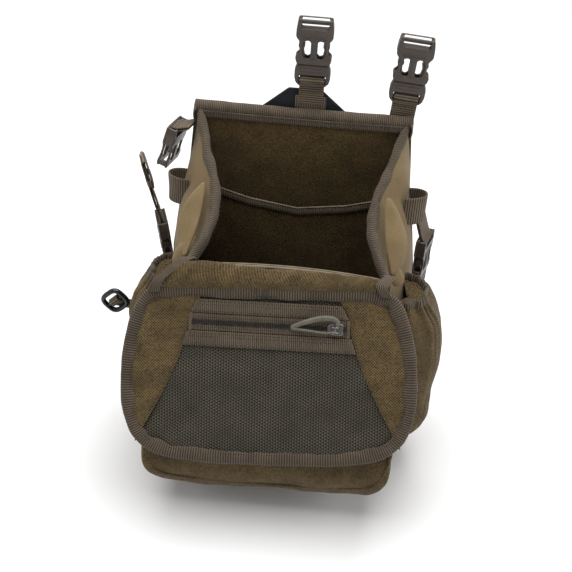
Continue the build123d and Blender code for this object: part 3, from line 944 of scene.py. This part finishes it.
def add_side_pieces():
    """Strips, wings, loops and padded flaps on the two sides."""
    for side, word in SIDES.items():
        def skin(y, h, lift):
            return mm(side * (side_x(y, h) + lift), y, h)

        strip = [[skin(y, h, 1.1) for y in spread(-28, -53, 10)] for h in spread(131, 178, 14)]
        sewn(cloth(f"side_strip_{word}", strip, 1.3), "pack", "grosgrain", f"side_strip_{word}")

        wing = []
        for t in spread(0, 1, 18):
            low, high = (-16 - 41 * t, 62 + 18 * t), (-16 - 41 * t, 100 + 16 * t)
            wing.append([skin(low[0], low[1] + (high[1] - low[1]) * f, 1.2) for f in spread(0, 1, 14)])
        piece = cloth(f"side_wing_{word}", crease(wing, 0.02, 0.0006, side), 1.3)
        sewn(piece, "pack", "webbing", f"side_wing_{word}")
        for f in (0.06, 0.94):
            edge = [skin(-16 - 41 * t, 62 + 18 * t + (38 - 2 * t) * f, 2.1) for t in spread(0.02, 0.98, 24)]
            line = stitches(f"wing_stitch_{word}_{int(f * 100)}", edge, Vector((side, 0, 0)))
            sewn(line, "pack", "webbing", material="thread")

        ring = []
        for h in spread(178, 203, 10):
            flare = 1 + 0.05 * (h - 178) / 25
            row = []
            for angle in spread(-112, 112, 44):
                a = radians(angle)
                x = 91 + 12.7 * flare * cos(a)
                row.append(mm(side * x, -40.5 + 8.4 * sin(a), h - 1.2 * (1 - cos(a))))
            ring.append(row)
        loop = cloth(f"side_loop_{word}", crease(ring, 0.02, 0.0008, side * 2), 1.5)
        sewn(loop, "pack", "webbing", f"side_loop_{word}")

        for k, (inner, outer) in enumerate(EAR_EDGES):
            rows = []
            for t in spread(0, 1, 22):
                near = catmull([mm(side * x, y, h) for x, y, h in inner], t)
                far = catmull([mm(side * x, y, h) for x, y, h in outer], t)
                row = []
                for f in spread(0, 1, 12):
                    roll = Vector((side * 0.5, -0.6, 0.6)) * 0.0030 * bulge(f) * bulge(t, 3.0)
                    row.append(near.lerp(far, f * bulge(t, 2.2)) + roll)
                rows.append(row)
            name = f"ear_{word}" if k == 0 else f"ear_fold_{word}"
            nodes = (f"ear_{word}",) if k == 0 else ()
            ear = cloth(name, crease(rows, 0.02, 0.0016, side * 4 + k), 3.0)
            sewn(ear, "pack", "body_cloth", *nodes)


def pocket_ring(side, h, widest, near, far, seed, gather=0.0, count=56):
    """Points round one level of a side pocket, from the side panel out and back."""
    middle, half = (near + far) / 2, (near - far) / 2
    row = []
    for k in range(count + 1):
        angle = pi * (k / count - 0.5)
        y = middle + half * abs(sin(angle)) ** 0.72 * (1 if angle > 0 else -1)
        root = side_x(y, min(h, 130)) - 2.5
        x = root + (widest - root) * abs(cos(angle)) ** 0.62
        fold = gather * sin(k * 1.15 + 2.0 * sin(k * 0.37 + seed))
        out = Vector((side * cos(angle), sin(angle), 0))
        row.append(mm(side * x, y, h) + out * fold / 1000)
    return row


POCKET_LEVELS = [  # height, outermost x, nearest and farthest depth
    (-6, 100, -76, -98),
    (-5, 111, -68, -105),
    (4, 120, -62, -110.5),
    (18, 125, -60.5, -111.5),
    (40, 127.5, -59.5, -112.5),
    (70, 128.5, -59.5, -112.5),
    (100, 127.5, -59.5, -112.5),
    (118, 123, -61, -111),
    (130, 116, -63, -108.5),
    (137.5, 111.5, -65.5, -106.5),
]


def add_side_pockets():
    """The two gathered side pockets and their bound mouths."""
    for side, word in SIDES.items():
        seed = side * 6.0
        sections = []
        for h, x, near, far in POCKET_LEVELS:
            gather = 1.7 * max(0.0, (h - 96) / 42) ** 1.3 + 0.3
            sections.append(pocket_ring(side, h, x, near, far, seed, gather))
        rows = []
        count = 46
        for i in range(count + 1):
            rows.append([catmull([s[j] for s in sections], i / count) for j in range(len(sections[0]))])
        rows = crease(rows, 0.032, 0.0034, seed)
        rows = crease(rows, 0.013, 0.0009, seed + 1)
        centre = mm(side * 96, -86, -6.5)
        rows.insert(0, [p.lerp(centre, 0.97) for p in rows[0]])
        pocket = cloth(f"side_pocket_{word}", rows, 2.2)
        sewn(pocket, "pack", "burlap", f"side_pocket_{word}")

        mouth = pocket_ring(side, 139, 110.5, -66.5, -105.5, seed, 1.2)
        outs = []
        for k in range(len(mouth)):
            along = (mouth[min(k + 1, len(mouth) - 1)] - mouth[max(k - 1, 0)]).normalized()
            outs.append(along.cross(Vector((0, 0, 1))).normalized() * side)
        band = tape(
            f"pocket_mouth_{word}", mouth, outs, [Vector((0, 0, -1))] * len(mouth),
            folded_profile(1.2, 7.0), scrunch=0.5, seed=seed
        )
        sewn(band, "pack", "grosgrain", f"pocket_mouth_{word}")
        inner = pocket_ring(side, 136, 109, -68, -104, seed, 0.8)
        heart = mm(side * 96, -86, 132.5)
        gathered = [
            inner, [p.lerp(heart, 0.35) for p in inner], [p.lerp(heart, 0.7) for p in inner],
            [p.lerp(heart, 0.98) for p in inner]
        ]
        sewn(
            cloth(f"pocket_top_{word}", crease(gathered, 0.012, 0.002, seed), 1.4), "pack", "burlap",
            material="burlap"
        )


# ---------------------------------------------------------------- front pocket
POCKET_PROFILE = [
    (-115, 146), (-137, 110), (-159, 72), (-177.5, 37), (-184, 18), (-182, 4), (-175, -5.5), (-150, -9),
    (-118, -8)
]


def pocket_half(h):
    """Half width of the front pocket at a height: its lower corners are round."""
    return 101.5 - 24 * max(0.0, (26 - h) / 36) ** 2.2 - 4.0 * max(0.0, (h - 40) / 110)


def add_front_pocket():
    """The sloping pocket behind the lid, and its piping."""
    spine = [Vector((0, y, h)) for y, h in POCKET_PROFILE]
    rows = []
    for i in range(53):
        p = catmull(spine, i / 52)
        half, row = pocket_half(p.z), []
        for k in range(61):
            u = k / 30 - 1
            corner = max(0.0, (abs(u) - 0.72) / 0.28)
            x = half * (abs(u) / 0.72 * 0.955 if abs(u) < 0.72 else 0.955 + 0.045 * sin(corner * pi / 2))
            back = (abs(-115 - p.y) * 0.97) * (1 - sqrt(max(0.0, 1 - corner**2.4))) if corner else 0.0
            x *= 1 if u > 0 else -1
            row.append(mm(x - 5, p.y + back, p.z + 0.03 * x))
        rows.append(row)
    rows = crease(rows, 0.05, 0.003, 21.0)
    rows = crease(rows, 0.017, 0.0008, 22.0)
    pocket = cloth("front_pocket", rows, 2.2)
    sewn(pocket, "pack", "burlap", "front_pocket")
    seam = []
    for x, h in [(-97, 120), (-98.5, 80), (-99, 50), (-96.5, 30), (-89, 14), (-75, 7), (-40, 5), (0, 4)]:
        seam.append((x, h))
    seam += [(-x, h) for x, h in reversed(seam[:-1])]
    front = [(b, a) for a, b in POCKET_PROFILE[:6]]
    corners = [
        mm(x - 5, between(front, h) - 1.0 + 1.6 * max(0, abs(x) - 88) / 10, h + 0.03 * x)
        for x, h in seam
    ]
    points = line_of(corners, 170)
    piping = tube("front_pocket_piping", points, [1.45] * len(points), sides=10)
    sewn(piping, "pack", "burlap")


add_side_pieces()
add_side_pockets()
add_front_pocket()


# ---------------------------------------------------------------- lid
LID_HALF = [
    (0, 6.6), (45, 6.6), (86, 8.5), (102, 20), (112, 50), (115, 82), (113, 108), (104, 129), (86, 141),
    (56, 146), (25, 147)
]
MESH_TOP, MESH_BOTTOM = 13.0, 150.0
ZIP_D, ZIP_HALF, SLIDER_X = 37.0, 61.0, 51.0


def field_half(d):
    """Half width of the mesh between the lid's two side panels."""
    return between(
        [(13, 51), (20, 57), (30, 62), (44, 64), (60, 69), (80, 77), (100, 87), (120, 98), (150, 114)], d
    )


def lid_outline(inset=0.0, count=150):
    """Points (x, d) round the lid, drawn in by inset, and the inward directions there."""
    half = LID_HALF[1:]
    ring = [Vector((x, d, 0)) for x, d in [LID_HALF[0]] + half + [(-x, d) for x, d in reversed(half)]]
    points, inwards = [], []
    for k in range(count):
        here = catmull(ring, k / count, True)
        ahead = catmull(ring, ((k + 0.2) / count) % 1.0, True)
        along = (ahead - here).normalized()
        inward = Vector((-along.y, along.x, 0))
        if inward.dot(Vector((0, 76, 0)) - here) < 0:
            inward = -inward
        points.append(here + inward * inset)
        inwards.append(inward)
    return points, inwards


def outline_half(d, inset):
    """Half width of the lid at a distance from the hinge line."""
    pairs = [(b, a) for a, b in LID_HALF[2:]]
    return between(pairs, d) - inset


def lid_uv(p):
    """Texture coordinates in the lid's plane."""
    away = p - LID.origin
    return (away.dot(LID.x), away.dot(LID.y))


def add_lid_shell():
    """The dished outer skin of the lid."""
    rings = []
    for inset, t in (
        (1.6, 0.9), (0.8, 3.0), (0.8, 6.0), (2.0, 8.8), (5.0, 10.1), (12.0, 10.6), (22.0, 10.8)
    ):
        rings.append([lid(p.x, p.y, t) for p in lid_outline(inset)[0]])
    centre = lid(0, 76, 10.8)
    for f in (0.2, 0.4, 0.6, 0.8, 0.97):
        rings.append([p.lerp(centre, f) for p in rings[6]])
    rings = crease(rings, 0.05, 0.0016, 31.0, LID.z)
    shell = cloth("lid_shell", rings, 2.2, closed=True, uv=lid_uv)
    sewn(shell, "lid", "burlap", "lid_shell")


def add_lid_rim():
    """The binding round the lid, its stitches and the lap where its ends meet."""
    points, inwards = lid_outline(1.0)
    path = [lid(p.x, p.y, 0.4) for p in points]
    across = [LID.x * n.x - LID.y * n.y for n in inwards]
    profile = [
        (8.8, 1.2), (8.9, -0.3), (7.4, -1.1), (4.2, -1.9), (1.2, -1.8), (-0.6, -0.6), (-1.1, 2.0),
        (-0.9, 5.2), (-0.2, 8.6)
    ]
    rim = tape(
        "lid_binding", path, across, [-LID.z] * len(path), profile, closed=True, scrunch=0.3, seed=41.0
    )
    # the rim is in the darker copy of the tape, which paints shade on it
    sewn(rim, "lid", "grosgrain", "lid_binding", material="rim_tape_painted_shade")
    seam, _ = lid_outline(8.2)
    line = [lid(p.x, p.y, -0.9) for p in seam] + [lid(seam[0].x, seam[0].y, -0.9)]
    sew("lid_rim_stitch", line, LID.z, "lid", "grosgrain")
    lap = [
        [lid(x, d, t) for x in spread(-13, -10.6, 3)]
        for d, t in ((13.6, 0.4), (12.4, -1.4), (9, -2.6), (6, -2.4), (4.2, -0.6), (3.8, 2))
    ]
    sewn(cloth("lid_rim_lap", lap, 0.8), "lid", "grosgrain", material="rim_tape_painted_shade")


def add_lid_panels():
    """The two woven panels beside the mesh."""
    for side, word in SIDES.items():
        rows = []
        for d in spread(8.0, 131.5, 44):
            inner = field_half(max(d, MESH_TOP)) - 0.8
            outer = max(outline_half(d, 4.5), inner + 0.4)
            row = []
            for f in spread(0, 1, 20):
                swell = 1.8 * bulge(f) * bulge(min(max((d - 8) / 124, 0), 1))
                row.append(lid(side * (inner + (outer - inner) * f), d, 0.9 - swell + 0.8 * f))
            rows.append(row)
        rows = crease(rows, 0.028, 0.0018, side * 9.0, LID.z)
        panel = cloth(f"lid_panel_{word}", rows, 1.3, uv=lid_uv)
        sewn(panel, "lid", "burlap", f"lid_panel_{word}")
        seam = [lid(side * (field_half(d) + 1.3), d, -0.55) for d in spread(16, 130, 60)]
        sew(f"lid_panel_stitch_{word}", seam, LID.z, "lid", "burlap", 2.0, 1.4, 0.22)


def add_lid_mesh():
    """The mesh pocket, slack below the zip."""
    rows = []
    for d in spread(11.0, 146.0, 60):
        half = min(field_half(max(d, MESH_TOP)), outline_half(d, 4.0))
        row = []
        for u in spread(-1, 1, 60):
            x = half * u
            loose = min(max((d - 58) / 16, 0.0), 1.0)
            fold = wobble((x / 1000, d / 1000, 0.3), 0.033, 2.6, 3.0) + wobble(
                ((x + d) / 1000, (d - x) / 2600, 0), 0.02, 1.3, 6.0
            )
            row.append(lid(x, d, 2.5 - loose * (1.6 * bulge((u + 1) / 2) + fold)))
        rows.append(row)
    piece = sewn(cloth("lid_mesh", rows, 0.5, uv=lid_uv), "lid", "mesh", "lid_mesh")


def zip_line(x, d, t):
    """A point of the lid, with the zip's own slant."""
    return lid(x, d + x * ZIP_SLANT, t)


def zip_seat(x, lift):
    """A seat on the zip, turned along its slant."""
    seat = LID.moved(x, -ZIP_D - x * ZIP_SLANT, lift)
    return Seat(seat.at(0, 0), seat.y + seat.x * ZIP_SLANT, seat.x - seat.y * ZIP_SLANT)


def add_zip():
    """The bands, tapes, coil and end stops of the zip."""
    for name, near, far in (("zip_band_upper", 19.0, 30.0), ("zip_band_lower", 44.0, 56.0)):
        rows = []
        for d in spread(near, far, 8):
            half = field_half(d) - 0.2
            crown = 0.5 * bulge((d - near) / (far - near))
            row = []
            for u in spread(-1, 1, 50):
                ripple = wobble((half * u / 1000, d / 1000, 0), 0.02, 0.5, near)
                row.append(zip_line(half * u, d, 0.8 - crown - ripple))
            rows.append(row)
        sewn(cloth(name, rows, 1.1, uv=lid_uv), "lid", "grosgrain", name, material="band")
        for d in (near + 1.6, near + 4.2, far - 1.6):
            half = field_half(d) - 3
            line = [zip_line(half * u, d, -0.25) for u in spread(-1, 1, 60)]
            sew(f"{name}_stitch_{int(d * 10)}", line, LID.z, "lid", "grosgrain", 1.9, 1.3, 0.2)
    for word, near, far in (("upper", 30.2, 36.1), ("lower", 37.9, 43.8)):
        rows = [
            [zip_line(x, d, 1.3 - 0.3 * bulge((d - near) / (far - near))) for x in spread(-63, 63, 40)]
            for d in spread(near, far, 5)
        ]
        nodes = ("zip_tapes",) if word == "upper" else ()
        sewn(cloth(f"zip_tape_{word}", rows, 0.7, uv=lid_uv), "lid", "grosgrain", *nodes, material="band")
        edge = 33.0 if word == "upper" else 41.0
        line = [zip_line(x, edge, 0.5) for x in spread(-61, 61, 60)]
        sew(f"zip_tape_stitch_{word}", line, LID.z, "lid", "grosgrain", 1.6, 1.1, 0.18)
    teeth = []
    for k in range(92):
        x = -59.5 + 1.3 * k
        for s in (1, -1):
            path = [
                (x, s * 2.1, 0), (x + 0.1, s * 1.0, 0.75), (x + 0.3, -s * 0.5, 0.5),
                (x + 0.65, -s * 0.5, -0.3)
            ]
            for a, b in zip(path, path[1:]):
                teeth.append(rod(a, b, 0.36, 6))
    cast("zip_coil", teeth, zip_seat(0, -0.6), "lid", "coil", "zip_coil")
    for side in (1, -1):
        stop = [plate([rounded([(-1.2, -7), (1.2, -7), (1.2, 7), (-1.2, 7)], 0.8)], 1.2, 0.4)]
        name = f"zip_stop_{SIDES[side]}"
        cast(name, stop, zip_seat(side * ZIP_HALF, -0.5), "lid", "coil", material="band")


def add_slider():
    """The zip's slider and its looped pull."""
    seat = zip_seat(SLIDER_X, 0)
    top = rounded([(-6, -3.2), (-2, -4.5), (6, -4.5), (6, 4.5), (-2, 4.5), (-6, 3.2)], 1.6)
    lower = rounded([(-6, -3.0), (6, -3.8), (6, 3.8), (-6, 3.0)], 1.2)
    parts = [plate([top], 1.4, 0.5, 1.3), plate([lower], 1.1, 0.3, -2.7)]
    for y in (2.0, -2.0):
        for a, b in (
            ((-2.6, y, 1.6), (-2.2, y, 4.4)), ((-2.2, y, 4.4), (0, y, 5.5)), ((0, y, 5.5), (2.2, y, 4.4)),
            ((2.2, y, 4.4), (2.6, y, 1.6))
        ):
            parts.append(rod(a, b, 0.85, 10))
    parts.append(rod((-0.2, -2.4, 5.4), (-0.2, 2.4, 5.4), 0.9, 10))
    parts.append(rod((4.6, 0, -2.6), (4.6, 0, 1.4), 0.8, 10))
    cast("zip_slider", parts, seat, "zip_slider", "slider_metal", "zip_slider")
    turn = [
        (0.4, 0.0, 3.9), (1.6, 3.2, 4.2), (1.2, 6.6, 4.3), (-3, 8.6, 4.4), (-11, 8.4, 4.4), (-21, 5.6, 4.3),
        (-29, 2.4, 4.0), (-33, 0.2, 3.8)
    ]
    turn += [(-30, -1.0, 3.8), (-21, -1.6, 3.8), (-11, -2.6, 3.8), (-4, -2.4, 3.8)]
    weights = [0.9, 1.5, 1.9, 2.1, 2.15, 2.0, 1.8, 1.5, 1.2, 1.0, 0.95, 0.9]
    count = 96
    points = [seat.at(*catmull([Vector(p) for p in turn], k / count, True)) for k in range(count)]
    radii = [catmull([Vector((w, 0, 0)) for w in weights], k / count, True).x for k in range(count)]
    sewn(
        tube("zip_pull", points, radii, flat=0.62, normal=LID.z, closed=True), "zip_pull", "pull_rubber",
        "zip_pull"
    )


def add_hinge():
    """The gathered cloth between the front wall and the lid, its two corner tabs, the wall's piping and a
    near-black strip of painted shade just inside the wall's top.
    """
    rows = []
    for t in spread(0, 1, 20):
        row = []
        for u in spread(-1, 1, 96):
            spots = [
                mm(u * 73, -113.0, 157),
                mm(u * 74, -115.6, 166.5),
                mm(u * 78 - 2, -120.0, 170.5),
                lid(u * 82, 4.5, -3.2),
                lid(u * 82, 12.0, 1.4),
            ]
            fold = wobble((u * 0.075, t * 0.004, 0), 0.0075, 1.7, 2.0)
            fold += wobble((u * 0.075, t * 0.01, 0), 0.02, 3.2, 5.0)
            lift = fold * bulge(t, 3.0) + bulge(t)
            row.append(catmull(spots, t) + Vector((0, -0.35, 0.94)) * lift / 1000)
        rows.append(row)
    piece = sewn(cloth("hinge_cloth", rows, 1.0), None, "burlap", "hinge_cloth")
    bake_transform(piece)
    for side, word in SIDES.items():
        rows = []
        for t in spread(0, 1, 14):
            row = []
            for f in spread(0, 1, 8):
                spots = [
                    mm(side * (80 - 9 * f), -109, 164 + 2 * f),
                    mm(side * (84 - 10 * f), -115.5, 171.5),
                    lid(side * (90 - 9 * f), 3.0 + 1.5 * (1 - f), -6.5),
                    lid(side * (94 - 9 * f), 13, -3.0),
                ]
                row.append(catmull(spots, t))
            rows.append(row)
        tab = sewn(cloth(f"hinge_tab_{word}", rows, 1.2), None, "grosgrain")
        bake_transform(tab)
    edge = []
    for u in spread(-1, 1, 60):
        rise = bulge((u + 1) / 2)
        edge.append(mm(72 * u, -113.0 + 1.5 * rise, FRONT_H + 1.0 + 3.4 * rise))
    sewn(
        tube("front_piping", edge, [1.1] * len(edge)), "pack", "grosgrain", "front_piping",
        material="pale_thread"
    )
    cord = [p + Vector((0, 0.0023, 0.0004)) for p in edge]
    sewn(tube("front_piping_inner", cord, [0.7] * len(cord)), "pack", "grosgrain", material="pale_thread")
    # a near-black strip just inside the wall's top, behind the piping: painted shade
    rows = [
        [p + Vector((0, 0.0032 + 0.0006 * t, -0.0065 * t + 0.0006)) for p in edge]
        for t in spread(0, 1, 4)
    ]
    sewn(cloth("front_edge_painted_shade", rows, 1.2), "pack", "lining", material="dark_thread_and_painted_shade")


add_lid_shell()
add_lid_rim()
add_lid_panels()
add_lid_mesh()
add_zip()
add_slider()
add_hinge()


# ---------------------------------------------------------------- harness straps and buckles
STRAPS = {  # each seat is at the bar of the half that the pack holds
    "centre": Seat(mm(5, BACK_Y - 0.8, 277), (0, 0, 1), (1, 0, 0)),
    "left": Seat(mm(80, BACK_Y + 0.8, 268), (0.08, 0, 1), (1, 0, 0)),
    "lower_left": Seat(mm(109, -19, 98), (0.02, 0, 1), (0.3, 0.95, 0)),
    "lower_right": Seat(mm(-108.2, -19, 94), (-0.14, 0, 0.99), (0.3, -0.95, 0)),
}
NECKS = {"centre": (22, 0), "left": (25, 0), "lower_left": (28, 28), "lower_right": (30, 15)}
HANGING = Seat(mm(-101, -15, 230), (0.26, 0, 0.96), (-0.27, -0.96, 0))
FEMALE_BAR = 48.0


def add_web(name, seat, width, neck, body, *nodes, bend=0.0):
    """Webbing turned round the bar at a seat, its two plies sewn together back along the strap."""
    section = []
    for y in spread(-neck, -5.5, 10):
        section.append(Vector((0, y, -0.85 - bend * ((y + 5.5) / neck) ** 2)))
    for angle in spread(-150, 150, 20):
        a = radians(angle)
        section.append(Vector((0, 2.75 * cos(a), 2.75 * sin(a))))
    for y in spread(-5.5, -neck * 0.93, 10):
        section.append(Vector((0, y, 0.85 - bend * ((y + 5.5) / neck) ** 2)))
    rows = []
    for x in spread(-width / 2, width / 2, 8):
        rows.append([seat.at(x, p.y, p.z) for p in section])
    piece = cloth(name, crease(rows, 0.014, 0.0005, len(name)), 1.35)
    sewn(piece, body, "webbing", *nodes)
    if neck > 15:
        for y in (-7.2, -9.4):
            line = [
                seat.at(x, y, 1.8 - bend * ((y + 5.5) / neck) ** 2)
                for x in spread(-width / 2 + 1.5, width / 2 - 1.5, 8)
            ]
            sew(f"{name}_stitch_{int(-y * 10)}", line, seat.z, body, "webbing", 1.6, 1.0, 0.24)
    return piece


def male_parts():
    """The pronged half: a shouldered bar end, a middle tongue and two sprung arms."""
    half = [(12.6, -3.2), (14.2, 2), (14.2, 9), (13.2, 12), (12.0, 14)]
    frame_ring = rounded(both_ways(half), 2.2)
    window = rounded([(-10.6, -3.0 + 0.2), (10.6, -2.8), (10.6, 4.4), (-10.6, 4.4)], 1.2)
    parts = [plate([frame_ring, window], 6.6, 1.1)]
    ridge = rounded([(-10, 8.2), (10, 8.2), (9, 10.6), (-9, 10.6)], 1.0)
    parts.append(plate([ridge], 1.2, 0.4, 3.4))
    parts.append(rod((-12, 0, 0), (12, 0, 0), 1.6, 20))
    parts.append(plate([rounded([(-2, 12), (2, 12), (1.7, 30.5), (-1.7, 30.5)], 1.4)], 4.4, 0.7))
    for flip in (1, -1):
        arm = [(5, 12.5), (8.5, 12.5), (10.2, 24), (11.9, 27), (11.9, 32), (10, 34), (7.6, 34), (7.8, 25)]
        arm = [(flip * x, y) for x, y in (arm if flip > 0 else reversed(arm))]
        parts.append(plate([rounded(arm, 1.2)], 4.4, 0.7))
        parts.append(rod((flip * 9.6, 29.5, -2.5), (flip * 9.6, 29.5, 2.5), 2.6, 24))
    return parts


def female_parts():
    """The socket half: two faces with kidney-shaped openings, four corner posts and a bar end."""
    half = [
        (12.2, 14.3), (13.6, 16.5), (14.4, 20.5), (11.4, 23.5), (10.6, 28), (11.4, 33), (14.5, 37),
        (14.3, 44), (13.2, FEMALE_BAR + 3.2)
    ]
    body_ring = rounded(both_ways(half), 1.6)
    web_window = rounded([(-10.6, 43.4), (10.6, 43.4), (10.6, 50.6 - 0.1), (-10.6, 50.5)], 1.2)
    parts = []
    for z in (3.5, -3.5):
        eyes = []
        for flip in (1, -1):
            eye = [
                (2.6, 20.5), (4.6, 19), (8.2, 20.5), (9.2, 25), (9.2, 30), (8.2, 33.5), (4.6, 34.5),
                (2.6, 33)
            ]
            eye = [(flip * x, y) for x, y in (eye if flip > 0 else reversed(eye))]
            eyes.append(rounded(eye, 1.8))
        parts.append(plate([body_ring, web_window, *eyes], 1.9, 0.55, z))
    for flip in (1, -1):
        for post in (
            [(11.6, 14.8), (13.4, 16.6), (14.2, 20.6), (12.3, 21.6)],
            [(12.3, 34.6), (14.2, 36.2), (14.0, 44), (12.9, 50.6), (11, 50.8), (11, 44)]
        ):
            points = [(flip * x, y) for x, y in (post if flip > 0 else reversed(post))]
            parts.append(plate([rounded(points, 0.7)], 5.8, 0.4))
    parts.append(plate([rounded([(-12, 38.4), (12, 38.4), (12, 43.2), (-12, 43.2)], 0.6)], 5.8, 0.4))
    parts.append(plate([rounded([(-1.6, 20), (1.6, 20), (1.2, 33), (-1.2, 33)], 0.8)], 1.4, 0.5, 4.2))
    parts.append(rod((-12.4, FEMALE_BAR, 0), (12.4, FEMALE_BAR, 0), 1.6, 20))
    for y in (35.4, 37.2):
        parts.append(plate([rounded([(-9, y), (9, y), (9, y + 0.9), (-9, y + 0.9)], 0.4)], 0.8, 0.3, 4.5))
    return parts


def add_buckles():
    """Every buckle half, strap end and the keeper."""
    for name, seat in STRAPS.items():
        cast(f"{name}_male", male_parts(), seat, f"{name}_male", "buckle_plastic", f"{name}_male")
        cast(f"{name}_female", female_parts(), seat, f"{name}_female", "buckle_plastic", f"{name}_female")
        neck, turn = NECKS[name]
        add_web(f"{name}_web", seat.turned(turn), STRAP_W, neck, "pack", f"{name}_web")
    hanging = HANGING.moved(0, -FEMALE_BAR)
    cast("right_female", female_parts(), hanging, "right_female", "buckle_plastic", "right_female")
    add_web(
        "right_web", Seat(HANGING.origin, (-0.885, 0.208, -0.345), HANGING.x), STRAP_W, 15, "pack",
        "right_web"
    )
    left_end = STRAPS["lower_left"].moved(0, FEMALE_BAR).turned(160)
    add_web("lower_left_tail", left_end, STRAP_W, 26, "lower_left_female", "lower_left_tail")
    right_end = STRAPS["lower_right"].moved(0, FEMALE_BAR).turned(187)
    add_web("lower_right_tail", right_end, STRAP_W, 62, "lower_right_female", "lower_right_tail")
    fold = []
    for y, z in ((-36, 2.6), (-42, 2.7), (-50, 2.9), (-58, 3.0), (-61.2, 2.7), (-62.4, 1.4), (-61.6, 0.4)):
        fold.append(Vector((0, y, z)))
    path = [catmull(fold, k / 24) for k in range(25)]
    rows = [[right_end.at(x, p.y, p.z) for p in path] for x in spread(-STRAP_W / 2, STRAP_W / 2, 8)]
    sewn(cloth("lower_right_fold", rows, 1.3), "lower_right_female", "webbing")
    ring = []
    for k in range(32):
        a = 2 * pi * k / 32
        x = 10.9 * abs(cos(a)) ** 0.35 * (1 if cos(a) > 0 else -1)
        z = 0.9 + 2.5 * abs(sin(a)) ** 0.5 * (1 if sin(a) > 0 else -1)
        ring.append((x, z))
    rows = [[right_end.at(x, y, z) for x, z in ring] for y in spread(-45.3, -38.7, 5)]
    sewn(cloth("strap_keeper", rows, 0.9, closed=True), "lower_right_female", "webbing", "strap_keeper")


def add_yoke():
    """The dark plate behind the top edge and the tab sewn to it."""
    rows = []
    for h in spread(236, 268, 14):
        half = between([(236, 41), (244, 40), (250, 34), (268, 13)], h)
        rows.append([mm(half * u, -4.4, h) for u in spread(-1, 1, 20)])
    sewn(cloth("yoke", crease(rows, 0.03, 0.0008, 13.0), 2.2), "pack", "yoke_cloth", "yoke")
    for side in (1, -1):
        edge = [
            mm(side * (between([(236, 41), (244, 40), (250, 34), (268, 13)], h) - 1.6), -5.8, h)
            for h in spread(252, 266, 16)
        ]
        sew(
            f"yoke_stitch_{SIDES[side]}", edge, Vector((0, -1, 0)), "pack", "yoke_cloth", 2.0, 1.3, 0.22,
            material="dark_thread_and_painted_shade"
        )
    rows = [
        [mm(5 + 12.5 * u, -6.6 - 0.4 * bulge((u + 1) / 2), h) for u in spread(-1, 1, 10)]
        for h in spread(251, 263, 8)
    ]
    sewn(cloth("yoke_tab", rows, 1.2), "pack", "grosgrain", material="webbing")


def add_clip():
    """The glossy clip and its web tab."""
    seat = Seat(mm(-140, -97, 110), (-0.69, 0, 0.73), (0.73, 0, 0.69))
    points, count = [], 72
    for k in range(count):
        a = 2 * pi * k / count
        x = 8.5 * abs(cos(a)) ** 0.62 * (1 if cos(a) > 0 else -1)
        y = 8.5 * abs(sin(a)) ** 0.62 * (1 if sin(a) > 0 else -1)
        points.append(seat.at(x, y, 0))
    ring = tube("gear_clip", points, [2.05] * count, sides=16, flat=1.15, normal=seat.z, closed=True)
    sewn(ring, "gear_clip", "clip_plastic", "gear_clip")
    bar = moulded("gear_clip_bar", [rod((-8.4, 0, 0), (8.4, 0, 0), 1.6, 20)], seat.matrix())
    sewn(bar, "gear_clip", "clip_plastic")
    add_web("clip_web", seat.turned(37), 9, 32, "pack", "clip_web")


add_buckles()
add_yoke()
add_clip()
